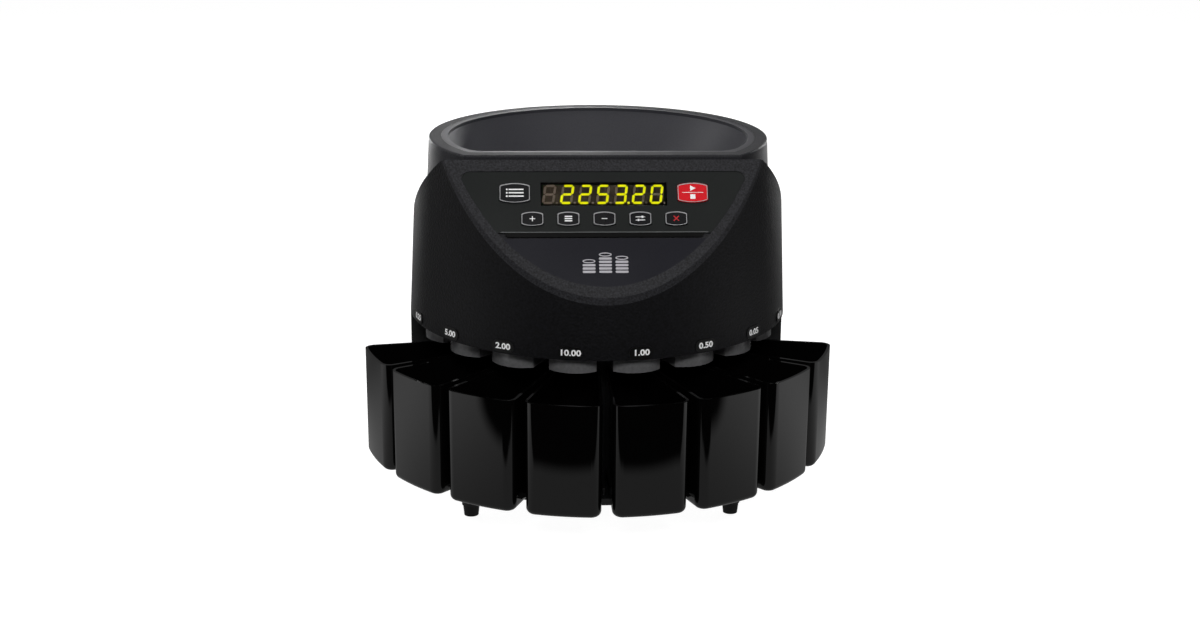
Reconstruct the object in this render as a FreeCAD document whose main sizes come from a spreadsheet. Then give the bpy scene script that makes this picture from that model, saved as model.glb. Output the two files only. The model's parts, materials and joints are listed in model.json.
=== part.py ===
import FreeCAD, Part
import math
import os
import re
import Sketcher

# Coin sorting machine: a hinged upper unit (hopper, control panel) over a sorting disc, with eight
# coin bins in a ring round the front. Millimetres, +Z up, front towards -Y.
# The origin is on the table, under the middle of the bounding box.
# The bins, chutes, sorting slots and value labels stand in a ring round the sorting disc, at drum_y.

DIMENSIONS = [
    # name, value, what it is
    ("drum_y", 14.9, "centre of the drum, the sorting disc and the ring of bins"),
    ("hopper_y", 19.4, "centre of the hopper"),
    ("back_y", 150.9, "flat back face"),
    ("wing_y", 10.4, "front face of the rear half of the lower housing"),
    ("shell_wall", 3.0, "wall of every housing moulding"),
    ("body_gap", 0.4, "gap between pieces that only stand next to each other"),
    ("overlap", 1.0, "how far joined and cutting solids run past each other"),
    ("foot_height", 8.2, "rubber foot"),
    ("foot_radius", 5.3, "rubber foot, at the table"),
    ("foot_flare", 0.9, "growth of a foot's radius towards its top"),
    ("foot_boss", 6.9, "radius of the boss over a foot"),
    ("foot_front_x", 96.0, "front feet"),
    ("foot_front_y", -79.0, "front feet"),
    ("foot_rear_x", 84.0, "rear feet"),
    ("foot_rear_y", 102.4, "rear feet"),
    ("base_low", 24.0, "underside of the base plate"),
    ("base_top", 29.0, "top of the base plate"),
    ("base_radius", 139.0, "base plate in front"),
    ("tongue_width", 26.0, "tongue of the base plate under a bin"),
    ("tongue_end", 150.0, "end of the tongues, from the drum's centre"),
    ("rib_width", 1.6, "guide rib between two bins"),
    ("rib_height", 5.0, "guide rib between two bins"),
    ("rib_length", 40.0, "guide rib between two bins"),
    ("screw_radius", 1.5, "base screw"),
    ("screw_head", 3.4, "base screw head"),
    ("head_height", 2.0, "base screw head"),
    ("screw_length", 18.0, "base screw, and the boss it turns in"),
    ("screw_boss", 5.0, "radius of the boss over a base screw"),
    ("web_length", 40.0, "web from a screw boss to the wall"),
    ("web_thick", 2.4, "web from a screw boss to the wall"),
    ("core_radius", 87.5, "housing behind the bins"),
    ("drum_radius", 142.6, "drum at the parting line"),
    ("drum_taper", 2.7, "draft of the drum, degrees"),
    ("part_z", 133.5, "parting line: lower edge of the upper casing"),
    ("deck_low", 133.1, "underside of the sorting deck"),
    ("deck_top", 137.1, "coin track on the sorting deck"),
    ("deck_radius", 136.5, "sorting deck"),
    ("rail_radius", 131.5, "coin rail, outside"),
    ("rail_wall", 2.5, "coin rail"),
    ("rail_top", 146.0, "coin rail"),
    ("ring_pitch", 20.15, "angle from bin to bin and from chute to chute, degrees"),
    ("bin_half", 8.85, "half the angle of a bin at its floor, degrees"),
    ("bin_inner", 90.5, "inner face of a bin at its floor"),
    ("bin_outer", 179.2, "outer face of a bin at its floor"),
    ("bin_low", 29.4, "underside of a bin"),
    ("bin_top", 112.3, "rim of a bin"),
    ("bin_wall", 2.0, "wall of a bin"),
    ("bin_draft", 0.25, "draft of a bin, degrees"),
    ("bin_corner", 7.5, "upright corners of a bin"),
    ("bin_foot", 4.5, "rounding under a bin"),
    ("chute_low", 121.8, "mouth of a coin chute"),
    ("chute_inner", 103.5, "flat inner face of a chute"),
    ("chute_bend", 129.2, "where a chute's sides end and its round front begins"),
    ("chute_outer", 136.2, "round front of a chute"),
    ("chute_half", 17.0, "half width of a chute"),
    ("chute_root", 14.4, "half width of a chute at its inner face"),
    ("chute_wall", 1.8, "wall of a chute"),
    ("slot_outer", 127.0, "outer end of every sorting slot"),
    ("slot_width", 25.0, "sorting slot, along the track"),
    ("slot_first", 14.5, "radial size of the smallest sorting slot"),
    ("slot_step", 1.0, "growth from one sorting slot to the next"),
    ("label_width", 17.5, "value label"),
    ("label_height", 8.6, "value label"),
    ("label_z", 138.8, "centre of the value labels"),
    ("label_thick", 0.6, "value label"),
    ("sensor_width", 9.0, "coin sensor"),
    ("sensor_height", 10.0, "coin sensor"),
    ("panel_angle", 52.85, "slope of the control panel, degrees"),
    ("panel_y", -125.6, "lowest point of the control panel"),
    ("panel_z", 178.5, "lowest point of the control panel"),
    ("panel_length", 106.1, "control panel, up its slope"),
    ("bezel_thick", 3.0, "bezel of the control panel"),
    ("bezel_rim", 4.8, "rim of the bezel, measured across the drum's wall"),
    ("bezel_seat", 1.2, "depth of the seat in the bezel"),
    ("overlay_sunk", 0.3, "overlay under the rim's face"),
    ("overlay_low", 49.5, "lower edge of the keypad overlay, up the slope"),
    ("overlay_high", 96.7, "upper edge of the keypad overlay, up the slope"),
    ("overlay_corner", 5.0, "upper corners of the overlay"),
    ("seat_gap", 0.3, "gap round the overlay in its seat"),
    ("groove_low", 45.2, "lower edge of the groove under the overlay"),
    ("groove_depth", 2.2, "groove under the overlay"),
    ("display_width", 89.6, "display window"),
    ("display_height", 18.2, "display window"),
    ("display_s", 79.4, "centre of the display, up the slope"),
    ("fit_gap", 0.1, "gap round a piece that is let into another"),
    ("lens_step", 0.8, "step that the display window rests on"),
    ("module_inset", 2.0, "display module, in from the window's edge"),
    ("board_n", -9.4, "face of the control board, from the panel's face"),
    ("control_width", 176.0, "control board"),
    ("control_low", 52.0, "lower edge of the control board, up the slope"),
    ("control_high", 92.0, "upper edge of the control board, up the slope"),
    ("peg_radius", 2.5, "pegs that carry the control board"),
    ("board_rise", 35.0, "main board over the base plate"),
    ("post_radius", 3.0, "posts under the main board"),
    ("board_thick", 1.6, "every circuit board"),
    ("key_proud", 0.6, "keys over the panel's face"),
    ("key_gap", 0.35, "gap round a key"),
    ("key_depth", 5.0, "key behind the panel's face"),
    ("flange_depth", 3.4, "front of a key's flange, behind the face"),
    ("flange_thick", 1.0, "flange of a key"),
    ("flange_edge", 0.8, "flange of a key, past its sides"),
    ("switch_size", 6.0, "key switch on the control board"),
    ("switch_top", 6.1, "top of a key switch, behind the panel's face"),
    ("key_row", 60.0, "row of small keys, up the slope"),
    ("key_pitch", 25.35, "small keys"),
    ("key_width", 15.4, "small key"),
    ("key_side", 8.2, "small key, along its straight sides"),
    ("key_bow", 1.3, "bow of a small key's long edges"),
    ("bigkey_row", 80.0, "pair of large keys, up the slope"),
    ("bigkey_x", 63.0, "large keys"),
    ("bigkey_width", 21.4, "large key"),
    ("bigkey_side", 11.7, "large key, along its straight sides"),
    ("bigkey_bow", 1.7, "bow of a large key's long edges"),
    ("key_corner", 1.2, "corners of a key"),
    ("shoulder_s", 106.8, "shoulder of the casing, up the panel's slope"),
    ("shoulder_z", 190.0, "shoulder of the casing at the back"),
    ("shoulder_bend", 60.0, "radius between the two shoulders"),
    ("hopper_top", 266.0, "top of the hopper ring"),
    ("hopper_radius", 127.0, "hopper ring, at its top"),
    ("hopper_taper", 2.8, "draft of the hopper ring, degrees"),
    ("ring_joint", 117.5, "joint between the ring and the bowl"),
    ("ring_skirt", 26.5, "lowest point of the ring's skirt, over the parting line"),
    ("ring_edge", 1.4, "rounding of the ring's top edge"),
    ("front_ledge", 4.3, "ledge of the ring, up to the bowl's front"),
    ("joint_step", 1.8, "step that the bowl's lip rests on"),
    ("ring_front", -60.1, "straight front of the hopper ring"),
    ("lip_radius", 112.7, "mouth of the bowl"),
    ("lip_thick", 3.0, "lip of the bowl"),
    ("bowl_front", -44.6, "straight front of the bowl's mouth"),
    ("bowl_lean", 8.0, "lean of the bowl's front wall, degrees"),
    ("bowl_wall", 2.5, "wall of the bowl"),
    ("bowl_shoulder", 263.5, "where the bowl's wall begins to slope"),
    ("neck_radius", 52.0, "neck of the bowl"),
    ("neck_top", 184.0, "top of the neck"),
    ("neck_low", 152.0, "end of the neck, over the sorting disc"),
    ("well_inset", 7.0, "hole in the casing under the hopper, in from the ring"),
    ("window_inset", 11.0, "hole in the casing behind the panel, in from the drum"),
    ("window_low", 12.0, "lower edge of that hole, up the slope"),
    ("window_margin", 14.0, "upper edge of that hole, down from the panel's end"),
    ("bowl_corner", 22.0, "corners of the bowl's mouth"),
    ("shaft_radius", 4.0, "main shaft"),
    ("shaft_low", 31.0, "main shaft"),
    ("bearing_radius", 11.0, "ball bearing, outside"),
    ("bearing_width", 7.0, "ball bearing"),
    ("bearing_inset", 3.0, "bearings, in from the ends of their column"),
    ("running_gap", 0.05, "running clearance"),
    ("disc_radius", 88.0, "sorting disc"),
    ("disc_low", 138.3, "sorting disc"),
    ("disc_thick", 3.0, "sorting disc"),
    ("finger_count", 6.0, "coin fingers"),
    ("finger_reach", 127.0, "tip of a coin finger"),
    ("finger_width", 9.0, "coin finger"),
    ("finger_thick", 2.4, "coin finger"),
    ("cap_radius", 30.0, "cap of the sorting disc"),
    ("cap_height", 17.0, "cap of the sorting disc"),
    ("column_radius", 17.0, "bearing column of the drive frame"),
    ("frame_low", 47.0, "plate of the drive frame"),
    ("frame_thick", 3.0, "plate of the drive frame"),
    ("frame_half", 28.0, "half width of the drive frame's plate"),
    ("frame_front", 49.0, "front of the plate, before the shaft"),
    ("frame_rear", 28.0, "back of the plate, behind the motor's shaft"),
    ("leg_inset", 5.0, "legs of the drive frame, in from the plate's edges"),
    ("leg_radius", 4.0, "legs of the drive frame"),
    ("motor_y", 99.4, "motor"),
    ("motor_radius", 22.0, "motor"),
    ("motor_height", 60.0, "motor"),
    ("motor_shaft", 3.0, "radius of the motor's shaft"),
    ("motor_nose", 7.0, "radius of the motor's nose"),
    ("motor_cap_height", 4.0, "rear cap of the motor"),
    ("spindle_length", 35.0, "shaft of the motor"),
    ("spindle_depth", 24.0, "shaft's bore in the motor"),
    ("pulley_low", 33.0, "both pulleys"),
    ("pulley_height", 12.0, "both pulleys"),
    ("pulley_flange", 1.5, "flange of a pulley"),
    ("drive_radius", 36.0, "drive pulley, under the belt"),
    ("pinion_radius", 9.0, "motor pulley, under the belt"),
    ("flange_rise", 2.5, "flange over the belt's seat"),
    ("belt_gap", 0.3, "belt to pulley"),
    ("belt_thick", 1.4, "belt"),
    ("belt_width", 6.0, "belt"),
    ("hinge_y", 158.6, "axis of the rear hinge"),
    ("hinge_z", 133.3, "axis of the rear hinge"),
    ("hinge_barrel", 6.0, "barrel of the rear hinge"),
    ("hinge_pin", 2.0, "pin of the rear hinge"),
    ("hinge_half", 30.0, "half the width of the rear hinge"),
    ("hinge_middle", 11.0, "half the width of the hinge's middle knuckle"),
    ("leaf_thick", 3.0, "leaf of the rear hinge"),
    ("leaf_height", 24.0, "leaf of the rear hinge"),
    ("board_x", -112.0, "left edge of the main board"),
    ("board_y", 24.4, "front edge of the main board"),
    ("board_width", 76.0, "main board"),
    ("board_depth", 60.0, "main board"),
    ("chip_height", 3.0, "components of the main board"),
    ("supply_x", 75.0, "middle of the power supply"),
    ("supply_y", 26.4, "front edge of the power supply"),
    ("supply_width", 62.0, "tray of the power supply"),
    ("supply_depth", 56.0, "tray of the power supply"),
    ("core_width", 40.0, "iron core of the power supply"),
    ("core_depth", 34.0, "iron core of the power supply"),
    ("coil_width", 30.0, "coil of the power supply"),
    ("coil_depth", 46.0, "coil of the power supply"),
    ("coil_height", 26.0, "coil of the power supply"),
    ("inlet_x", -22.0, "power inlet"),
    ("rocker_x", 10.0, "power switch"),
    ("port_x", 32.0, "data port"),
    ("socket_z", 72.0, "inlet, switch and port"),
    ("rocker_half", 8.6, "half the height of the switch's rocker"),
    ("rocker_depth", 3.0, "pivot of the rocker, in from the back face"),
    ("rocker_tilt", 7.0, "lean of the rocker when it is off, degrees"),
    ("inlet_face_width", 56.0, "face of the power inlet"),
    ("inlet_face_height", 26.0, "face of the power inlet"),
    ("inlet_face_thick", 2.2, "face of the power inlet"),
    ("inlet_width", 27.0, "barrel of the power inlet"),
    ("inlet_height", 20.0, "barrel of the power inlet"),
    ("inlet_depth", 18.0, "barrel of the power inlet"),
    ("inlet_wall", 2.2, "wall of the power inlet"),
    ("inlet_floor", 13.0, "depth of the inlet's socket"),
    ("pin_length", 9.5, "contact pin of the inlet"),
    ("port_size", 12.0, "data port, square"),
    ("port_wall", 1.7, "wall of the data port"),
    ("rocker_wide", 11.0, "width of the switch's rocker"),
    ("rocker_frame", 13.0, "frame round the rocker"),
    ("hole_gap", 0.3, "gap round a socket in the housing's wall"),
]
BIN_COUNT = 8
SMALL_KEYS = ["key_plus", "key_batch", "key_minus", "key_settings", "key_clear"]
LARGE_KEYS = [("key_list", -1), ("key_start", 1)]
FAR = 400.0
DEEP = -20.0  # cuts in the panel run from here, behind its face,
PROUD = 5.0  # to here, in front of it

doc = FreeCAD.newDocument("coin_sorter")
sheet = doc.addObject("Spreadsheet::Sheet", "dims")
for row, (alias, number, meaning) in enumerate(DIMENSIONS, start=1):
    sheet.set(f"A{row}", meaning)
    sheet.set(f"B{row}", str(number))
    sheet.setAlias(f"B{row}", alias)
doc.recompute()
ALIASES = {alias for alias, number, meaning in DIMENSIONS}
nodes = []


# ---- links to the sheet -------------------------------------------------------------------

def link(expression):
    """Point every sheet name in an expression at the sheet."""
    return re.sub(r"[a-z]\w*", lambda m: f"dims.{m[0]}" if m[0] in ALIASES else m[0], str(expression))


def value(expression):
    """The present value of an expression."""
    result = sheet.evalExpression(link(expression))
    return float(getattr(result, "Value", result))


def bind(thing, **links):
    """Bind properties of an object to expressions."""
    for prop, expression in links.items():
        thing.setExpression(prop, link(expression))
    return thing


def put(thing, x=0, y=0, z=0):
    """Bind an object's place."""
    for axis, expression in (("x", x), ("y", y), ("z", z)):
        thing.setExpression(f"Placement.Base.{axis}", link(expression))
    return thing


def turn(thing, axis, angle):
    """Bind an object's turn about one axis through its own place."""
    thing.Placement.Rotation = FreeCAD.Rotation(FreeCAD.Vector(*axis), 0)
    thing.setExpression("Placement.Rotation.Angle", link(angle))
    return thing


def node(thing, label):
    """Count an object as a finished sub-part."""
    thing.Label = label
    nodes.append(thing)
    return thing


# ---- solids ---------------------------------------------------------------------------------

def box(name, length, width, height, x, y, z):
    """A box with its low corner at x, y, z."""
    solid = doc.addObject("Part::Box", name)
    bind(solid, Length=length, Width=width, Height=height)
    return put(solid, x, y, z)


def mid_box(name, length, width, height, x, y, z):
    """A box centred on x, standing on z, with its near face at y."""
    return box(name, length, width, height, f"{x} - ({length}) / 2", y, z)


def cylinder(name, radius, height, x, y, z):
    """An upright cylinder standing on z."""
    solid = doc.addObject("Part::Cylinder", name)
    bind(solid, Radius=radius, Height=height)
    return put(solid, x, y, z)


def cone(name, low_radius, high_radius, height, x, y, z):
    """An upright cone standing on z."""
    solid = doc.addObject("Part::Cone", name)
    bind(solid, Radius1=low_radius, Radius2=high_radius, Height=height)
    return put(solid, x, y, z)


def lying_cylinder(name, radius, length, x, y, z):
    """A cylinder along X, starting at x."""
    solid = doc.addObject("Part::Cylinder", name)
    bind(solid, Radius=radius, Height=length)
    solid.Placement.Rotation = FreeCAD.Rotation(FreeCAD.Vector(0, 1, 0), 90)
    return put(solid, x, y, z)


def cut(name, base, *tools):
    """The base less every tool."""
    result = doc.addObject("Part::Cut", name)
    result.Base = base
    result.Tool = tools[0] if len(tools) == 1 else fuse(f"{name}_tools", *tools)
    return result


def fuse(name, *solids):
    """All the solids as one."""
    result = doc.addObject("Part::MultiFuse", name)
    result.Shapes = list(solids)
    return result


def common(name, *solids):
    """What all the solids share."""
    result = doc.addObject("Part::MultiCommon", name)
    result.Shapes = list(solids)
    return result


def group(name, solids):
    """Separate solids that are one node."""
    result = doc.addObject("Part::Compound", name)
    result.Links = list(solids)
    return result


def round_edges(name, base, radius, chosen):
    """Fillet the edges that the test picks."""
    doc.recompute()
    picked = [i for i, edge in enumerate(base.Shape.Edges, start=1) if chosen(edge)]
    result = doc.addObject("Part::Fillet", name)
    result.Base = base
    result.Edges = [(i, value(radius), value(radius)) for i in picked]
    return result


# ---- sketches ---------------------------------------------------------------------------------

def draw(sketch, *loops):
    """Draw closed loops of (x, y) corners; (x, y, radius, side) reaches its corner by an arc.

    side is 1 for an arc that turns left and -1 for one that turns right. Every corner and
    radius is constrained to its expression."""
    for corners in loops:
        spots = [FreeCAD.Vector(value(c[0]), value(c[1]), 0) for c in corners]
        first = sketch.GeometryCount
        count = len(corners)
        for i in range(count):
            start = spots[i]
            end = spots[(i + 1) % count]
            corner = corners[(i + 1) % count]
            if len(corner) == 4:
                sketch.addGeometry(arc_edge(start, end, value(corner[2]), corner[3]), False)
                sketch.addConstraint(Sketcher.Constraint("Radius", first + i, value(corner[2])))
                sketch.setExpression(f"Constraints[{sketch.ConstraintCount - 1}]", link(corner[2]))
            else:
                sketch.addGeometry(Part.LineSegment(start, end), False)
        for i in range(count):
            ends = [end_at(sketch, first + i, spots[i]), end_at(sketch, first + (i - 1) % count, spots[i])]
            sketch.addConstraint(Sketcher.Constraint("Coincident", first + (i - 1) % count, ends[1],
                                                     first + i, ends[0]))
            pin(sketch, "DistanceX", first + i, ends[0], corners[i][0], -2)
            pin(sketch, "DistanceY", first + i, ends[0], corners[i][1], -1)


def end_at(sketch, index, spot):
    """Which end of an edge, 1 or 2, is at a spot."""
    edge = sketch.Geometry[index]
    start = edge.StartPoint
    end = edge.EndPoint
    return 1 if (start - spot).Length < (end - spot).Length else 2


def pin(sketch, kind, index, end, expression, axis):
    """Constrain one coordinate of an edge's end."""
    if str(expression) == "0":
        sketch.addConstraint(Sketcher.Constraint("PointOnObject", index, end, axis))
        return
    sketch.addConstraint(Sketcher.Constraint(kind, -1, 1, index, end, value(expression)))
    sketch.setExpression(f"Constraints[{sketch.ConstraintCount - 1}]", link(expression))


def arc_edge(start, end, radius, side):
    """An arc of less than half a turn from start to end."""
    chord = end - start
    across = FreeCAD.Vector(-chord.y, chord.x, 0).normalize()
    rise = math.sqrt(max(radius ** 2 - chord.Length ** 2 / 4, 0))
    centre = (start + end) * 0.5 + across * rise * side
    angles = [math.atan2(p.y - centre.y, p.x - centre.x) for p in (start, end)]
    if side < 0:
        angles.reverse()
    return Part.ArcOfCircle(Part.Circle(centre, FreeCAD.Vector(0, 0, 1), radius), *angles)


def body_sketch(body, name, role, height=0):
    """A sketch on one of a body's own planes."""
    sketch = body.newObject("Sketcher::SketchObject", name)
    plane = next(f for f in body.Origin.OriginFeatures if f.Role == role)
    sketch.AttachmentSupport = [(plane, "")]
    sketch.MapMode = "FlatFace"
    sketch.setExpression("AttachmentOffset.Base.z", link(height))
    return sketch


def pad(body, name, loops, low, height, draft=0):
    """Pad loops from one level up."""
    sketch = body_sketch(body, f"{name}_sketch", "XY_Plane", low)
    draw(sketch, *loops)
    feature = body.newObject("PartDesign::Pad", name)
    feature.Profile = sketch
    bind(feature, Length=height, TaperAngle=draft)
    doc.recompute()
    return feature


def pocket_up(body, name, loops, low, height, draft=0):
    """Cut loops out of a body from one level up."""
    before = body.Shape.Volume
    sketch = body_sketch(body, f"{name}_sketch", "XY_Plane", low)
    draw(sketch, *loops)
    feature = body.newObject("PartDesign::Pocket", name)
    feature.Profile = sketch
    feature.Reversed = True
    bind(feature, Length=height, TaperAngle=draft)
    doc.recompute()
    if body.Shape.Volume >= before - 1:
        raise RuntimeError(f"{name} cuts nothing")
    return feature


def body_fillet(body, name, radius, chosen):
    """Round the edges of a body that the test picks."""
    base = body.Tip
    edges = [f"Edge{i}" for i, edge in enumerate(base.Shape.Edges, start=1) if chosen(edge)]
    feature = body.newObject("PartDesign::Fillet", name)
    feature.Base = (base, edges)
    bind(feature, Radius=radius)
    doc.recompute()
    return feature


def revolve(name, corners, y):
    """Revolve a loop of (radius, z) corners about the upright axis at y."""
    body = doc.addObject("PartDesign::Body", name)
    sketch = body_sketch(body, f"{name}_sketch", "XZ_Plane")
    draw(sketch, corners)
    feature = body.newObject("PartDesign::Revolution", f"{name}_turn")
    feature.Profile = sketch
    feature.ReferenceAxis = (sketch, ["V_Axis"])
    feature.Angle = 360
    return put(body, 0, y, 0)


def side_prism(name, corners, half_width):
    """A loop of (y, z) corners made as wide as the machine."""
    body = doc.addObject("PartDesign::Body", name)
    sketch = body_sketch(body, f"{name}_sketch", "YZ_Plane")
    draw(sketch, corners)
    feature = body.newObject("PartDesign::Pad", f"{name}_pad")
    feature.Profile = sketch
    feature.SideType = "Symmetric"
    bind(feature, Length=f"2 * ({half_width})")
    return body


# ---- the machine's own frames -----------------------------------------------------------------

def panel_point(s, n):
    """(y, z) of a point s up the panel's slope and n out of its face."""
    y = f"panel_y + ({s}) * cos(panel_angle) - ({n}) * sin(panel_angle)"
    z = f"panel_z + ({s}) * sin(panel_angle) + ({n}) * cos(panel_angle)"
    return y, z


def on_panel(thing, x, s, n):
    """Lay an object on the panel: its own Y runs up the slope and its Z out of the face."""
    y, z = panel_point(s, n)
    turn(thing, (1, 0, 0), "panel_angle")
    return put(thing, x, y, z)


def panel_box(name, width, s_low, s_high, n_low, n_high, x=0):
    """A box in the panel's frame, centred on x."""
    solid = doc.addObject("Part::Box", name)
    bind(solid, Length=width, Width=f"({s_high}) - ({s_low})", Height=f"({n_high}) - ({n_low})")
    return on_panel(solid, f"{x} - ({width}) / 2", s_low, n_low)


def panel_peg(name, radius, x, s, n_low, n_high):
    """A cylinder that stands on the panel's face."""
    solid = doc.addObject("Part::Cylinder", name)
    bind(solid, Radius=radius, Height=f"({n_high}) - ({n_low})")
    return on_panel(solid, x, s, n_low)


def ring_angle(index):
    """The angle of a bin, chute or label about the drum's centre, from the front towards +X."""
    return f"ring_pitch * {index - (BIN_COUNT - 1) / 2}"


def on_ring(thing, angle, t, u, z):
    """Lay an object at u from the drum's centre and t along the ring: its -Y points outwards."""
    turn(thing, (0, 0, 1), angle)
    x = f"({t}) * cos({angle}) + ({u}) * sin({angle})"
    y = f"drum_y + ({t}) * sin({angle}) - ({u}) * cos({angle})"
    return put(thing, x, y, z)


def ring_box(name, width, u_low, u_high, height, angle, z):
    """A box across the ring, from u_low to u_high."""
    solid = doc.addObject("Part::Box", name)
    bind(solid, Length=width, Width=f"({u_high}) - ({u_low})", Height=height)
    return on_ring(solid, angle, f"-({width}) / 2", u_high, z)


def drum_cone(name, inset, low, high):
    """The drum's surface, moved in by an inset, between two levels."""
    radius = "drum_radius - ({0}) - (({1}) - part_z) * tan(drum_taper)"
    return cone(name, radius.format(inset, low), radius.format(inset, high), f"({high}) - ({low})",
                0, "drum_y", low)


def case_profile(name, front, top, rear):
    """The side view of the casing: panel, shoulder and back, each moved in by an amount."""
    shoulder = f"shoulder_s - ({top})"
    low = f"shoulder_z - ({top})"
    meet = f"(({low}) - panel_z - ({shoulder}) * sin(panel_angle)) / cos(panel_angle)"
    reach = f"(shoulder_bend + ({top})) * tan((90 - panel_angle) / 2)"
    corners = [
        (f"-{FAR / 2}", panel_point(f"-{FAR / 4}", front)[1]),
        panel_point(f"-{FAR / 4}", front),
        panel_point(shoulder, front),
        panel_point(shoulder, f"({meet}) + ({reach})"),
        (f"{panel_point(shoulder, meet)[0]} + ({reach})", low, f"shoulder_bend + ({top})", 1),
        (f"back_y - ({rear})", low),
        (f"back_y - ({rear})", "part_z - 20"),
        (f"-{FAR / 2}", "part_z - 20"),
    ]
    return side_prism(name, corners, FAR / 2)


def rear_half(name, inset, low, high):
    """The rear half of the lower housing: the drum's circle, cut off in front and behind."""
    disc = cylinder(f"{name}_disc", f"drum_radius - ({inset})", f"({high}) - ({low})", 0, "drum_y", low)
    block = box(f"{name}_block", FAR, f"back_y - wing_y - 2 * ({inset})", FAR, -FAR / 2,
                f"wing_y + ({inset})", 0)
    return common(name, disc, block)


# ---- lower unit -----------------------------------------------------------------------------------

FEET = [(side, place) for place in ("front", "rear") for side in (-1, 1)]
SCREWS = [(-60, 4.4), (60, 4.4), (-75, 114.4), (75, 114.4)]
BOARD_POSTS = [(x, y) for x in (-106, -42) for y in (30.4, 78.4)]


def make_base():
    """Base plate with tongues under the bins, foot lugs, guide ribs and board posts."""
    thick = "base_top - base_low"
    disc = cylinder("base_disc", "base_radius", thick, 0, "drum_y", "base_low")
    front = box("base_front", FAR, FAR, FAR, -FAR / 2, f"wing_y + overlap - {FAR}", 0)
    parts = [common("base_apron", disc, front), rear_half("base_rear", 0, "base_low", "base_top")]
    for number, (side, place) in enumerate(FEET, start=1):
        parts.append(cylinder(f"foot_boss_{number}", "foot_boss", "base_top - foot_height",
                              f"{side} * foot_{place}_x", f"foot_{place}_y", "foot_height"))
    for index in range(BIN_COUNT):
        parts.append(ring_box(f"base_tongue_{index + 1}", "tongue_width", "bin_inner", "tongue_end",
                              thick, ring_angle(index), "base_low"))
    for index in range(BIN_COUNT + 1):
        parts.append(ring_box(f"guide_rib_{index}", "rib_width", "bin_inner", "bin_inner + rib_length",
                              "rib_height + overlap", ring_angle(index - 0.5), "base_top - overlap"))
    for i, (x, y) in enumerate(BOARD_POSTS):
        parts.append(cylinder(f"board_post_{i}", "post_radius", "board_rise", x, y, "base_top"))
    plate = fuse("base_solid", *parts)
    holes = [cylinder(f"screw_hole_{i}", "screw_radius + hole_gap", "2 * base_top", x, y, 0)
             for i, (x, y) in enumerate(SCREWS)]
    return node(cut("base_plate", plate, *holes), "base_plate")


def make_feet():
    """Four rubber feet."""
    feet = [cone(f"foot_{number}", "foot_radius", "foot_radius + foot_flare", "foot_height",
                 f"{side} * foot_{place}_x", f"foot_{place}_y", 0)
            for number, (side, place) in enumerate(FEET, start=1)]
    return node(group("rubber_feet", feet), "rubber_feet")


def make_base_screws():
    """Pan-head screws that hold the base plate to the housing."""
    screws = []
    for i, (x, y) in enumerate(SCREWS):
        head = cylinder(f"screw_head_{i}", "screw_head", "head_height", x, y, "base_low - head_height")
        shank = cylinder(f"screw_shank_{i}", "screw_radius", "screw_length", x, y, "base_low - overlap")
        screws.append(fuse(f"screw_{i}", head, shank))
    return node(group("base_screws", screws), "base_screws")


def make_lower_housing():
    """Wall behind the bins and round the rear half, open above and below."""
    tall = "deck_low - base_top"
    outer = fuse("housing_outer", rear_half("housing_rear", 0, "base_top", "deck_low"),
                 cylinder("housing_core", "core_radius", tall, 0, "drum_y", "base_top"))
    inner = fuse("housing_inner",
                 rear_half("hollow_rear", "shell_wall", "base_top - overlap", "deck_low + overlap"),
                 cylinder("hollow_core", "core_radius - shell_wall", f"{tall} + 2 * overlap", 0, "drum_y",
                          "base_top - overlap"))
    solids = [cut("housing_shell", outer, inner)]
    for i, (x, y) in enumerate(SCREWS):
        boss = cylinder(f"screw_boss_{i}", "screw_boss", "screw_length", x, y, "base_top")
        low = x if x > 0 else f"{x} - web_length"
        web = box(f"screw_web_{i}", "web_length", "web_thick", "screw_length", low, f"{y} - web_thick / 2",
                  "base_top")
        pilot = cylinder(f"screw_pilot_{i}", "screw_radius + running_gap", "2 * screw_length", x, y,
                         "base_top - screw_length / 2")
        solids.append(cut(f"screw_post_{i}", fuse(f"screw_ribs_{i}", boss, web), pilot))
    walls = common("housing_walls", fuse("housing_solids", *solids), outer)
    half = "back_y - inlet_depth"
    holes = [mid_box("inlet_hole", "inlet_width + 2 * hole_gap", "2 * inlet_depth", "inlet_height + 2 * hole_gap",
                     "inlet_x", half, "socket_z - inlet_height / 2 - hole_gap"),
             mid_box("rocker_hole", "rocker_frame + 2 * hole_gap", "2 * inlet_depth",
                     "inlet_height + 2 * hole_gap", "rocker_x", half, "socket_z - inlet_height / 2 - hole_gap"),
             mid_box("port_hole", "port_size + 2 * hole_gap", "2 * inlet_depth", "port_size + 2 * hole_gap",
                     "port_x", half, "socket_z - port_size / 2 - hole_gap")]
    return node(cut("lower_housing", walls, *holes), "lower_housing")


def make_deck():
    """Deck that carries the coin track, with a sorting slot over every chute."""
    disc = cylinder("deck_disc", "deck_radius", "deck_top - deck_low", 0, "drum_y", "deck_low")
    block = box("deck_block", FAR, FAR, FAR, -FAR / 2, f"back_y - shell_wall - overlap - {FAR}", 0)
    low = "deck_low - overlap"
    through = "deck_top - deck_low + 2 * overlap"
    tools = [cylinder("deck_bore", "bearing_radius + body_gap", through, 0, "drum_y", low)]
    for index in range(BIN_COUNT):
        size = f"slot_first + slot_step * {index}"
        tools.append(ring_box(f"sorting_slot_{index + 1}", "slot_width", f"slot_outer - ({size})", "slot_outer",
                              through, ring_angle(index), low))
    return node(cut("sorting_deck", common("deck_plate", disc, block), *tools), "sorting_deck")


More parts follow.
